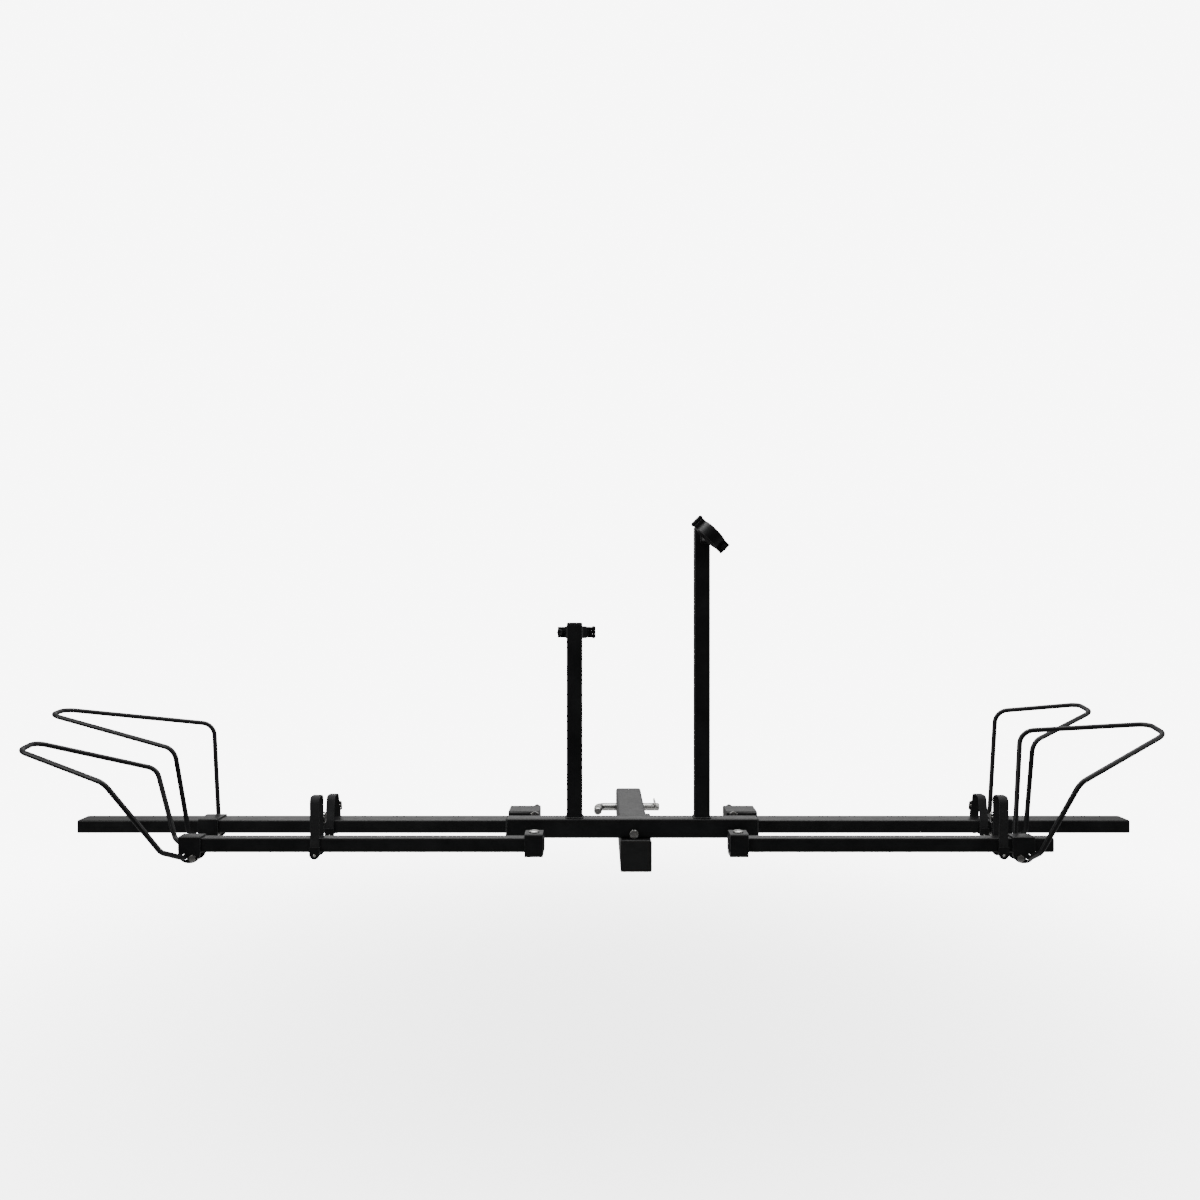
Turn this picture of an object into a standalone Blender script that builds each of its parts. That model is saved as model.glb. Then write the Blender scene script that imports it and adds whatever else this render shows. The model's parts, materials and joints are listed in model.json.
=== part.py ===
"""Hitch mounted rack for two bikes: a receiver shank, a crossbeam with two uprights, and four arms.

Millimetres throughout, turned into metres when a mesh is made. +X is to the right for someone behind
the vehicle, +Y points at the vehicle and +Z is up. The origin is on the shank's underside, below the
hitch-pin hole.
"""
import math

import bmesh
import bpy
from mathutils import Matrix, Vector

MM = 0.001
GAP = 0.3                       # air left between pieces that touch

# Shank: 2 inch square tube that goes into the receiver
SHANK_SIZE = 50.8
SHANK_WALL = 4.0
SHANK_FREE_END_Y = -430.0
SHANK_INNER_END_Y = 70.0
PIN_RADIUS = 7.8
PIN_HOLE_RADIUS = 8.2
SHANK_MID_Z = SHANK_SIZE / 2

# Crossbeam, bolted to a saddle on top of the shank
BEAM_SIZE = 31.75
BEAM_WALL = 2.5
BEAM_X = (-208.5, 197.0)
BEAM_FRONT_Y = SHANK_FREE_END_Y + 12.0
BEAM_MID_Y = BEAM_FRONT_Y + BEAM_SIZE / 2
BEAM_REAR_Y = BEAM_FRONT_Y + BEAM_SIZE
BEAM_BOTTOM_Z = SHANK_SIZE + GAP
BEAM_TOP_Z = BEAM_BOTTOM_Z + BEAM_SIZE
SADDLE_DEPTH = 23.0
SADDLE_PLATE = 5.0
SADDLE_TOP_Z = BEAM_TOP_Z - 1.5
BEAM_BOLT_X = -3.0
BEAM_BOLT_Z = BEAM_BOTTOM_Z + 7.1

# Arms: the outer pair is a square tube, the pair nearer the vehicle a flat rectangular one
TUBE_HEIGHT = 22.2
TUBE_WALL = 2.0
NEAR_ARM_Y = -502.3
NEAR_ARM_Z = 60.9
NEAR_ARM_DEPTH = 22.2
NEAR_ARM_INNER_X = 141.5
FAR_ARM_Y = -292.8
FAR_ARM_Z = 49.2
FAR_ARM_DEPTH = 44.4
FAR_ARM_INNER_X = 120.0
ARM_OUTER_X = {
    ("left", "near"): 703.0,
    ("right", "near"): 636.0,
    ("left", "far"): 950.0,
    ("right", "far"): 846.0,
}
PLUG_FLANGE = 2.5
PLUG_DEPTH = 12.0

# Sleeves that hold the arms, welded to a side bar under each end of the crossbeam. Distances are outwards
# from the middle, and the left side sits a little further out.
SIDE_SHIFT = {"left": 4.5, "right": 0.0}
SIDE_BAR_X = (155.0, 169.0)
SIDE_BAR_THICKNESS = 7.0
NEAR_SLEEVE_X = (141.0, 169.0)
NEAR_SLEEVE_SIZE = 36.0
NEAR_SLEEVE_Z = NEAR_ARM_Z + 0.4
FAR_SLEEVE_X = (157.0, 209.5)
FAR_SLEEVE_Y = (-326.0, -266.0)
FAR_SLEEVE_Z = (33.0, 77.4)
SLIDE_CLEARANCE = 0.5
PINCH_BOLT_X = 168.5
PINCH_BOLT_Z = 71.2

# Uprights and their frame clamps
UPRIGHT_SIZE = 25.4
UPRIGHT_X = {"left": -99.5, "right": 108.0}
UPRIGHT_TOP_Z = {"left": 397.4, "right": 553.4}
CLAMP_X = {"left": -99.5, "right": 113.0}
CLAMP_Y = {"left": FAR_ARM_Y, "right": NEAR_ARM_Y}
CLAMP_DROP = 16.0               # clamp centre below the upright's top
CLAMP_BAR = 15.0
TUBE_ANGLE = {"left": math.radians(90.0), "right": math.radians(45.0)}
JAW_WIDTH = 18.5
JAW_INNER_RADIUS = 18.5
JAW_OUTER_RADIUS = 22.0
JAW_SPLIT = 0.4
HINGE_LUG_REACH = 27.5
BOLT_LUG_REACH = 31.5
LUG_THICKNESS = 5.0
HINGE_RADIUS = 2.6
HINGE_OFFSET = HINGE_LUG_REACH + HINGE_RADIUS + GAP
CLAMP_BOLT_OFFSET = 27.5
CLAMP_BOLT_RADIUS = 2.5
CLAMP_BOLT_FLATS = 8.0
KNOB_RADIUS = 5.8
KNOB_BORE = 3.4
PAD_INNER_RADIUS = 16.5

# Wheel hoops. Distances are outwards from the middle, and heights are above the shank's underside.
# A hoop leans in its bracket, so the side away from the vehicle is given first and the other second.
HOOP_RADIUS = 4.0
HOOP_FOOT_DROP = 17.5           # wire centre below the arm's centre
HOOP_KNEE_RISE = 15.0           # where the wire turns up, above its foot
HOOP_SHAPE = {
    ("left", "near"): {"foot": 694.0, "knees": (716.0, 732.0), "bends": ((790.0, 167.0), (772.0, 165.0)),
                       "tip": 942.0, "tip_heights": (208.0, 214.0)},
    ("left", "far"): {"foot": 735.0, "knees": (747.0, 738.0), "bends": ((765.0, 189.0), (752.0, 214.0)),
                      "tip": 995.0, "tip_heights": (241.0, 245.0)},
    ("right", "near"): {"foot": 598.0, "knees": (603.0, 600.0), "bends": ((650.0, 167.0), (619.0, 226.0)),
                        "tip": 801.0, "tip_heights": (233.0, 243.0)},
    ("right", "far"): {"foot": 636.0, "knees": (655.0, 636.0), "bends": ((661.0, 201.0), (653.0, 237.0)),
                       "tip": 780.0, "tip_heights": (246.0, 254.0)},
}
HOOP_HALF_WIDTH = 77.0
HOOP_TIP_HALF_WIDTH = 26.0
HOOP_CORNER_RADII = (8.0, 14.0, 24.0, 21.0)
BRACKET_PLATE = 2.0
BRACKET_LENGTH = 34.0
BRACKET_DROP = 27.0
BRACKET_WIRE_OFFSET = 7.0
BRACKET_BOLT_OFFSET = -6.0
BRACKET_BOLT_DROP = 19.0

# Wheel straps: a webbing loop round the arm that stands up to go over a rim
STRAP_WIDTH = 14.0
STRAP_THICKNESS = 2.0
STRAP_CLEARANCE = 0.5
STRAP_SHAPE = {
    ("left", "near"): {"x": 495.0, "top": 73.0},
    ("left", "far"): {"x": 520.0, "top": 50.0},
    ("right", "near"): {"x": 560.0, "top": 73.0},
    ("right", "far"): {"x": 598.0, "top": 50.0},
}

SIDES = (("left", -1.0), ("right", 1.0))
ROWS = ("near", "far")
MATERIALS = {
    "black_steel": ((0.016, 0.016, 0.017, 1.0), 0.42, 0.55),
    "black_plastic": ((0.012, 0.012, 0.012, 1.0), 0.55, 0.0),
    "black_rubber": ((0.020, 0.020, 0.020, 1.0), 0.80, 0.0),
    "black_webbing": ((0.018, 0.018, 0.019, 1.0), 0.90, 0.0),
    "zinc": ((0.62, 0.62, 0.60, 1.0), 0.30, 1.0),
}


# ---------------------------------------------------------------- building blocks

def clear_scene():
    for scene_object in list(bpy.data.objects):
        bpy.data.objects.remove(scene_object)


def material(name):
    """The Principled material of one finish, made once."""
    if name in bpy.data.materials:
        return bpy.data.materials[name]
    colour, roughness, metallic = MATERIALS[name]
    made = bpy.data.materials.new(name)
    made.use_nodes = True
    shader = made.node_tree.nodes["Principled BSDF"]
    shader.inputs["Base Color"].default_value = colour
    shader.inputs["Roughness"].default_value = roughness
    shader.inputs["Metallic"].default_value = metallic
    return made


def empty_at(name, point):
    """An empty on a joint's axis, which carries the pieces that move together."""
    empty = bpy.data.objects.new(name, None)
    empty.location = Vector(point) * MM
    bpy.context.collection.objects.link(empty)
    return empty


def add_object(name, points, faces, finish, carrier=None):
    """A closed mesh from points in the rack's frame, held by the carrier's empty if it moves."""
    home = carrier.location.copy() if carrier else Vector((0.0, 0.0, 0.0))
    mesh = bpy.data.meshes.new(name)
    mesh.from_pydata([Vector(point) * MM - home for point in points], [], faces)
    work = bmesh.new()
    work.from_mesh(mesh)
    bmesh.ops.recalc_face_normals(work, faces=work.faces)
    if work.calc_volume(signed=True) < 0:
        bmesh.ops.reverse_faces(work, faces=work.faces)
    work.to_mesh(mesh)
    work.free()
    mesh.shade_smooth()
    mesh.set_sharp_from_angle(angle=math.radians(35.0))
    made = bpy.data.objects.new(name, mesh)
    made.parent = carrier
    if finish:
        mesh.materials.append(material(finish))
    bpy.context.collection.objects.link(made)
    return made


def join_rings(rings, closed):
    """Quads between neighbouring rings of equal length; capped at both ends unless closed."""
    count = len(rings[0])
    points = [point for ring in rings for point in ring]
    faces = []
    spans = len(rings) if closed else len(rings) - 1
    for span in range(spans):
        start = span * count
        after = (span + 1) % len(rings) * count
        for index in range(count):
            following = (index + 1) % count
            faces.append((start + index, start + following, after + following, after + index))
    if not closed:
        faces.append(tuple(range(count)))
        faces.append(tuple(range((len(rings) - 1) * count, len(rings) * count)))
    return points, faces


def rounded_rectangle(half_u, half_v, corner, steps=2):
    """Outline points of a rectangle with round corners, centred on zero."""
    outline = []
    for quarter, (sign_u, sign_v) in enumerate(((1, 1), (-1, 1), (-1, -1), (1, -1))):
        for step in range(steps + 1):
            angle = (quarter + step / steps) * math.pi / 2
            outline.append((sign_u * (half_u - corner) + corner * math.cos(angle),
                            sign_v * (half_v - corner) + corner * math.sin(angle)))
    return outline


def placed(outline, axis, along, centre):
    """An outline set square to an axis. centre gives the other two coordinates, in order."""
    ring = []
    for u, v in outline:
        pair = [centre[0] + u, centre[1] + v]
        pair.insert("XYZ".index(axis), along)
        ring.append(tuple(pair))
    return ring


def bar(name, axis, span, centre, half_sizes, finish, corner=1.5, carrier=None):
    """A solid bar with softened edges and slightly chamfered ends."""
    chamfer = min(0.6, corner)
    outer = rounded_rectangle(*half_sizes, corner)
    inner = rounded_rectangle(half_sizes[0] - chamfer, half_sizes[1] - chamfer, corner)
    rings = [placed(inner, axis, span[0], centre),
             placed(outer, axis, span[0] + chamfer, centre),
             placed(outer, axis, span[1] - chamfer, centre),
             placed(inner, axis, span[1], centre)]
    return add_object(name, *join_rings(rings, closed=False), finish, carrier)


def tube(name, axis, span, centre, half_sizes, wall, finish, corner=2.6, carrier=None):
    """A rectangular tube, open at both ends."""
    steps = 4
    outer = rounded_rectangle(*half_sizes, corner, steps)
    bore = (half_sizes[0] - wall, half_sizes[1] - wall)
    inner = rounded_rectangle(*bore, max(corner - wall, 0.5), steps)
    rings = [placed(outer, axis, span[0], centre), placed(outer, axis, span[1], centre),
             placed(inner, axis, span[1], centre), placed(inner, axis, span[0], centre)]
    return add_object(name, *join_rings(rings, closed=True), finish, carrier)


def plug(name, axis, mouth, inward, centre, half_sizes, wall, finish, carrier=None):
    """An end plug: a thin crowned flange outside the mouth and a tapered insert inside it."""
    flange = rounded_rectangle(half_sizes[0], half_sizes[1], 2.6)
    crown = rounded_rectangle(half_sizes[0] - 2.0, half_sizes[1] - 2.0, 2.0)
    fit = wall + GAP
    insert = rounded_rectangle(half_sizes[0] - fit, half_sizes[1] - fit, 1.0)
    tip = rounded_rectangle(half_sizes[0] - fit - 1.0, half_sizes[1] - fit - 1.0, 1.0)
    stations = ((crown, -GAP - PLUG_FLANGE), (flange, -GAP - PLUG_FLANGE + 1.0), (flange, -GAP),
                (insert, -GAP), (insert, PLUG_DEPTH - 3.0), (tip, PLUG_DEPTH))
    rings = [placed(outline, axis, mouth + inward * depth, centre) for outline, depth in stations]
    return add_object(name, *join_rings(rings, closed=False), finish, carrier)


def circle(radius, sides=12, phase=0.0):
    return [(radius * math.cos(phase + 2 * math.pi * i / sides),
             radius * math.sin(phase + 2 * math.pi * i / sides)) for i in range(sides)]


def hexagon(across_flats):
    """Twelve points on a hexagon: its corners and the middles of its flats, flats top and bottom."""
    outline = []
    for step in range(12):
        flat_middle = step % 2 == 1
        radius = across_flats / 2 if flat_middle else across_flats / 2 / math.cos(math.pi / 6)
        outline.append((radius * math.cos(step * math.pi / 6), radius * math.sin(step * math.pi / 6)))
    return outline


def turned(name, axis, centre, stations, finish, carrier=None):
    """A solid from outlines stacked along an axis: a bolt, a pin or a knob."""
    rings = [placed(outline, axis, along, centre) for outline, along in stations]
    return add_object(name, *join_rings(rings, closed=False), finish, carrier)


def hex_bolt_stations(across_flats, thread_radius, head_face, direction, grip, nut):
    """Stations of a hex bolt from its head's outer face, with its nut if it has one."""
    head = hexagon(across_flats)
    soft_head = circle(across_flats / 2 - 0.3)
    shaft = circle(thread_radius)
    depth = across_flats * 0.42
    stations = [(soft_head, 0.0), (head, 0.8), (head, depth), (shaft, depth), (shaft, depth + grip)]
    if nut:
        stations += [(head, depth + grip), (head, depth + grip + depth),
                     (shaft, depth + grip + depth), (shaft, depth + grip + depth + 4.0)]
    return [(outline, head_face + direction * along) for outline, along in stations]


def ring_prism(name, outer, inner, place, span, finish, carrier=None):
    """A closed band: two outlines of equal length, extruded between the two span values."""
    rings = [place(outer, span[0]), place(outer, span[1]), place(inner, span[1]), place(inner, span[0])]
    return add_object(name, *join_rings(rings, closed=True), finish, carrier)


def strip_prism(name, outer, inner, place, span, finish, carrier=None):
    """An open C section: outer and inner lines of equal length, extruded between the span values."""
    low_outer, low_inner = place(outer, span[0]), place(inner, span[0])
    high_outer, high_inner = place(outer, span[1]), place(inner, span[1])
    rings = [list(corner) for corner in zip(low_outer, high_outer, high_inner, low_inner)]
    return add_object(name, *join_rings(rings, closed=False), finish, carrier)


def rounded_path(corners, radii, steps, closed):
    """Points along straight runs with an arc of each radius at each corner."""
    points = []
    count = len(corners)
    for index, radius in enumerate(radii):
        corner = Vector(corners[index])
        if not closed and index in (0, count - 1):
            points.append(corner)
            continue
        before = (Vector(corners[index - 1]) - corner).normalized()
        after = (Vector(corners[(index + 1) % count]) - corner).normalized()
        half_angle = before.angle(after) / 2
        centre = corner + (before + after).normalized() * (radius / math.sin(half_angle))
        start = corner + before * (radius / math.tan(half_angle)) - centre
        end = corner + after * (radius / math.tan(half_angle)) - centre
        sweep = start.angle(end)
        for step in range(steps + 1):
            share = step / steps
            turned_by = (start * math.sin((1 - share) * sweep) + end * math.sin(share * sweep))
            points.append(centre + turned_by / math.sin(sweep))
    return points


def wire(name, path, radius, sides, closed, finish, carrier=None):
    """A round wire along a path, its rings carried along without twist."""
    count = len(path)
    tangents = []
    for index in range(count):
        ahead = path[(index + 1) % count] if closed or index < count - 1 else path[index]
        behind = path[index - 1] if closed or index > 0 else path[index]
        tangents.append((ahead - behind).normalized())
    side = tangents[0].orthogonal().normalized()
    rings = []
    for point, tangent in zip(path, tangents):
        side = (side - tangent * side.dot(tangent)).normalized()
        across = tangent.cross(side)
        rings.append([tuple(point + side * u + across * v) for u, v in circle(radius, sides)])
    if closed:
        rings = untwist(rings)
    return add_object(name, *join_rings(rings, closed), finish, carrier)


def untwist(rings):
    """Roll every ring of a closed wire by a share of the twist, so that the last meets the first."""
    count = len(rings[0])
    first = Vector(rings[0][0])
    last_ring = [Vector(point) for point in rings[-1]]
    nearest = min(range(count), key=lambda index: (last_ring[index] - first).length)
    rolled = []
    for number, ring in enumerate(rings):
        shift = round(nearest * number / (len(rings) - 1)) if nearest <= count / 2 else \
            round((nearest - count) * number / (len(rings) - 1))
        rolled.append(ring[shift % count:] + ring[:shift % count])
    return rolled


def boolean(target, tool, operation):
    """Cut or join a hidden tool object into a target."""
    tool.hide_render = True
    tool.display_type = "WIRE"
    modifier = target.modifiers.new(operation.title(), "BOOLEAN")
    modifier.operation = operation
    modifier.object = tool


def drill(target, name, axis, centre, span, radius, carrier=None, sides=16):
    """A round hole through a target."""
    stations = [(circle(radius, sides), span[0]), (circle(radius, sides), span[1])]
    boolean(target, turned(name, axis, centre, stations, None, carrier), "DIFFERENCE")


# ---------------------------------------------------------------- shank, beam and saddle

def build_shank():
    half = SHANK_SIZE / 2
    shank = tube("hitch_shank", "Y", (SHANK_FREE_END_Y, SHANK_INNER_END_Y), (0.0, SHANK_MID_Z),
                 (half, half), SHANK_WALL, "black_steel", corner=5.0)
    drill(shank, "cut_pin_hole", "X", (0.0, SHANK_MID_Z), (-40.0, 40.0), PIN_HOLE_RADIUS)
    plug("shank_end_cap", "Y", SHANK_FREE_END_Y, 1.0, (0.0, SHANK_MID_Z), (half, half),
         SHANK_WALL, "black_plastic")


def build_beam():
    half = BEAM_SIZE / 2
    middle = (BEAM_MID_Y, BEAM_BOTTOM_Z + half)
    beam = tube("crossbeam", "X", BEAM_X, middle, (half, half),
                BEAM_WALL, "black_steel", corner=3.5)
    bolt_line = (BEAM_BOLT_X, BEAM_BOLT_Z)
    drill(beam, "cut_beam_bolt_hole", "Y", bolt_line, (BEAM_FRONT_Y - 5.0, BEAM_REAR_Y + 5.0), 4.3)

    saddle_front = BEAM_REAR_Y + GAP
    saddle_rear = saddle_front + SADDLE_DEPTH
    height = SADDLE_TOP_Z - BEAM_BOTTOM_Z
    saddle = bar("beam_saddle", "Y", (saddle_front, saddle_rear), (0.0, BEAM_BOTTOM_Z + height / 2),
                 (SHANK_SIZE / 2, height / 2), "black_steel", corner=2.0)
    hollow = bar("cut_saddle_hollow", "Y", (saddle_front + SADDLE_PLATE, saddle_rear + 10.0),
                 (0.0, BEAM_BOTTOM_Z + height / 2 - SADDLE_PLATE),
                 (SHANK_SIZE / 2 - SADDLE_PLATE, height / 2), None)
    boolean(saddle, hollow, "DIFFERENCE")
    drill(saddle, "cut_saddle_bolt_hole", "Y", bolt_line, (saddle_front - 5.0, saddle_front + 8.0), 4.3)

    across_flats = 13.0
    head_depth = across_flats * 0.42
    grip = saddle_front + SADDLE_PLATE - BEAM_FRONT_Y + 2 * GAP
    turned("beam_bolt", "Y", bolt_line, hex_bolt_stations(
        across_flats, 4.0, BEAM_FRONT_Y - GAP - head_depth, 1.0, grip, nut=True), "zinc")


def build_side_bars():
    half_x = (SIDE_BAR_X[1] - SIDE_BAR_X[0]) / 2
    top = BEAM_BOTTOM_Z - GAP
    front = NEAR_ARM_Y + NEAR_SLEEVE_SIZE / 2 + GAP
    rear = FAR_SLEEVE_Y[0] - GAP
    for side, sign in SIDES:
        middle_x = sign * (sum(SIDE_BAR_X) / 2 + SIDE_SHIFT[side])
        bar(f"side_bar_{side}", "Y", (front, rear), (middle_x, top - SIDE_BAR_THICKNESS / 2),
            (half_x, SIDE_BAR_THICKNESS / 2), "black_steel", corner=1.2)


# ---------------------------------------------------------------- sleeves and arms

def build_near_sleeve(side, sign):
    span = sorted(sign * (x + SIDE_SHIFT[side]) for x in NEAR_SLEEVE_X)
    half = NEAR_SLEEVE_SIZE / 2
    wall = half - NEAR_ARM_DEPTH / 2 - SLIDE_CLEARANCE
    sleeve = tube(f"near_sleeve_{side}", "X", span, (NEAR_ARM_Y, NEAR_SLEEVE_Z), (half, half), wall,
                  "black_steel", corner=4.0)
    middle_x = sum(span) / 2
    top = NEAR_SLEEVE_Z + half
    drill(sleeve, f"cut_near_bolt_hole_{side}", "Z", (middle_x, NEAR_ARM_Y), (top - 10.0, top + 5.0), 4.3)
    thread_end = NEAR_ARM_Z + TUBE_HEIGHT / 2 + GAP
    stations = ((circle(4.5), top + 4.6), (circle(8.0), top + 3.2), (circle(9.5), top + GAP + 0.8),
                (circle(9.5), top + GAP), (circle(4.0), top + GAP), (circle(4.0), thread_end))
    turned(f"near_sleeve_bolt_{side}", "Z", (middle_x, NEAR_ARM_Y), stations, "zinc")


def build_far_sleeve(side, sign):
    span = sorted(sign * (x + SIDE_SHIFT[side]) for x in FAR_SLEEVE_X)
    middle = (sum(FAR_SLEEVE_Y) / 2, sum(FAR_SLEEVE_Z) / 2)
    half_sizes = ((FAR_SLEEVE_Y[1] - FAR_SLEEVE_Y[0]) / 2, (FAR_SLEEVE_Z[1] - FAR_SLEEVE_Z[0]) / 2)
    sleeve = bar(f"far_sleeve_{side}", "X", span, middle, half_sizes, "black_steel", corner=5.0)
    window = (FAR_ARM_DEPTH / 2 + SLIDE_CLEARANCE, TUBE_HEIGHT / 2 + SLIDE_CLEARANCE)
    tunnel = bar(f"cut_far_tunnel_{side}", "X", (span[0] - 5.0, span[1] + 5.0),
                 (FAR_ARM_Y, FAR_ARM_Z), window, None)
    boolean(sleeve, tunnel, "DIFFERENCE")
    bolt_line = (sign * PINCH_BOLT_X, PINCH_BOLT_Z)
    reach = (FAR_SLEEVE_Y[0] - 5.0, FAR_SLEEVE_Y[1] + 5.0)
    drill(sleeve, f"cut_far_bolt_hole_{side}", "Y", bolt_line, reach, 4.2)
    across_flats = 13.0
    head_face = FAR_SLEEVE_Y[0] - GAP - across_flats * 0.42
    grip = FAR_SLEEVE_Y[1] - FAR_SLEEVE_Y[0] + 2 * GAP
    turned(f"far_sleeve_bolt_{side}", "Y", bolt_line,
           hex_bolt_stations(across_flats, 3.9, head_face, 1.0, grip, nut=True), "zinc")


def arm_line(row):
    """Centre (Y, Z), half sizes and inner end of a row's arms."""
    if row == "near":
        return (NEAR_ARM_Y, NEAR_ARM_Z), (NEAR_ARM_DEPTH / 2, TUBE_HEIGHT / 2), NEAR_ARM_INNER_X
    return (FAR_ARM_Y, FAR_ARM_Z), (FAR_ARM_DEPTH / 2, TUBE_HEIGHT / 2), FAR_ARM_INNER_X


def build_arm(side, sign, row):
    middle, half_sizes, inner = arm_line(row)
    inner += SIDE_SHIFT[side]
    outer = ARM_OUTER_X[side, row]
    carrier = empty_at(f"axis_{row}_arm_{side}", (sign * inner, *middle))
    tube(f"{row}_arm_{side}", "X", sorted((sign * inner, sign * outer)), middle, half_sizes,
         TUBE_WALL, "black_steel", carrier=carrier)
    plug(f"{row}_arm_plug_{side}", "X", sign * outer, -sign, middle, half_sizes, TUBE_WALL,
         "black_plastic", carrier)


# ---------------------------------------------------------------- wheel hoops and straps

def across_x(centre):
    """Places an outline of the Y-Z plane at a given X."""
    return lambda outline, along: placed(outline, "X", along, centre)


def build_hoop_bracket(side, sign, row, carrier):
    """A folded saddle over the arm whose two ears hang below it and hold the wire and the bolt."""
    middle, half_sizes, _ = arm_line(row)
    foot = HOOP_SHAPE[side, row]["foot"]
    centre_x = sign * (foot - BRACKET_WIRE_OFFSET)
    span = (centre_x - BRACKET_LENGTH / 2, centre_x + BRACKET_LENGTH / 2)
    inner_u, inner_v = half_sizes[0] + 0.4, half_sizes[1] + 0.4
    outer_u, outer_v = inner_u + BRACKET_PLATE, inner_v + BRACKET_PLATE
    outer = [(-outer_u, -BRACKET_DROP), (-outer_u, outer_v - 2), (-outer_u + 2, outer_v),
             (outer_u - 2, outer_v), (outer_u, outer_v - 2), (outer_u, -BRACKET_DROP)]
    inner = [(-inner_u, -BRACKET_DROP), (-inner_u, inner_v - 0.4), (-inner_u + 0.4, inner_v),
             (inner_u - 0.4, inner_v), (inner_u, inner_v - 0.4), (inner_u, -BRACKET_DROP)]
    bracket = strip_prism(f"{row}_hoop_bracket_{side}", outer, inner, across_x(middle), span,
                          "black_steel", carrier)

    ear_radius = 15.0
    ear_half = BRACKET_LENGTH / 2
    low = middle[1] - BRACKET_DROP
    outline = [(-ear_half, middle[1] + outer_v + 5), (-ear_half, low + ear_radius)]
    for step in range(1, 6):
        angle = math.pi + step * math.pi / 12
        outline.append((-ear_half + ear_radius * (1 + math.cos(angle)),
                        low + ear_radius * (1 + math.sin(angle))))
    outline.append((-ear_half + ear_radius, low))
    outline += [(-u, v) for u, v in reversed(outline)]
    shape = [(centre_x + u, v) for u, v in outline]
    rings = [[(x, middle[0] + y, z) for x, z in shape] for y in (-outer_u - 5, outer_u + 5)]
    blank = add_object(f"cut_{row}_ear_shape_{side}", *join_rings(rings, closed=False), None, carrier)
    boolean(bracket, blank, "INTERSECT")

    reach = (middle[0] - outer_u - 5, middle[0] + outer_u + 5)
    drill(bracket, f"cut_{row}_wire_hole_{side}", "Y", (sign * foot, middle[1] - HOOP_FOOT_DROP),
          reach, HOOP_RADIUS + 0.6, carrier)
    bolt_x = centre_x + sign * BRACKET_BOLT_OFFSET
    bolt_line = (bolt_x, middle[1] - BRACKET_BOLT_DROP)
    drill(bracket, f"cut_{row}_hoop_bolt_hole_{side}", "Y", bolt_line, reach, 3.4, carrier)
    across_flats = 10.0
    head_face = middle[0] - outer_u - GAP - across_flats * 0.42
    turned(f"{row}_hoop_bolt_{side}", "Y", bolt_line, hex_bolt_stations(
        across_flats, 3.0, head_face, 1.0, 2 * outer_u + 2 * GAP, nut=True), "zinc", carrier)


def build_hoop(side, sign, row, carrier):
    """One bent rod: under the arm, up both sides in a V, out over the tyre and round a narrow tip."""
    (arm_y, arm_z), (half_depth, _), _ = arm_line(row)
    shape = HOOP_SHAPE[side, row]
    foot_z = arm_z - HOOP_FOOT_DROP
    knee_z = foot_z + HOOP_KNEE_RISE
    foot_width, knee_width = half_depth + 8.0, half_depth + 38.0
    sides = []
    for knee_x, (bend_x, bend_z), tip_z in zip(shape["knees"], shape["bends"], shape["tip_heights"]):
        sides.append([(shape["foot"], foot_width, foot_z), (knee_x, knee_width, knee_z),
                      (bend_x, HOOP_HALF_WIDTH, bend_z), (shape["tip"], HOOP_TIP_HALF_WIDTH, tip_z)])
    corners = [(x, -y, z) for x, y, z in sides[0]] + sides[1][::-1]
    corners = [(sign * x, arm_y + y, z) for x, y, z in corners]
    radii = HOOP_CORNER_RADII + HOOP_CORNER_RADII[::-1]
    path = rounded_path(corners, radii, 5, closed=True)
    wire(f"{row}_wheel_hoop_{side}", path, HOOP_RADIUS, 8, True, "black_steel", carrier)


def build_strap(side, sign, row):
    middle, (half_depth, half_height), _ = arm_line(row)
    shape = STRAP_SHAPE[side, row]
    x = sign * shape["x"]
    carrier = empty_at(f"axis_{row}_strap_{side}", (x, *middle))
    loop_half = half_depth + STRAP_CLEARANCE
    loop_low = -half_height - STRAP_CLEARANCE
    top_half = 14.0
    corners = [(-loop_half, loop_low), (loop_half, loop_low), (loop_half, half_height),
               (top_half, shape["top"]), (-top_half, shape["top"]), (-loop_half, half_height)]
    radii = [3.0, 3.0, 30.0, 9.0, 9.0, 30.0]
    inner = [tuple(p.xy) for p in rounded_path([(u, v, 0.0) for u, v in corners], radii, 4, True)]
    outer = []
    for index, (u, v) in enumerate(inner):
        before = Vector(inner[index - 1])
        after = Vector(inner[(index + 1) % len(inner)])
        run = (after - before).normalized()
        outer.append((u + run.y * STRAP_THICKNESS, v - run.x * STRAP_THICKNESS))
    ring_prism(f"{row}_wheel_strap_{side}", outer, inner, across_x(middle),
               (x - STRAP_WIDTH / 2, x + STRAP_WIDTH / 2), "black_webbing", carrier)


# ---------------------------------------------------------------- uprights and frame clamps

def build_upright(side):
    half = UPRIGHT_SIZE / 2
    centre = (UPRIGHT_X[side], BEAM_MID_Y)
    top = UPRIGHT_TOP_Z[side]
    tube(f"upright_{side}", "Z", (BEAM_TOP_Z + GAP, top), centre, (half, half), TUBE_WALL, "black_steel")
    plug(f"upright_cap_{side}", "Z", top, -1.0, centre, (half, half), TUBE_WALL, "black_plastic")


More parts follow.
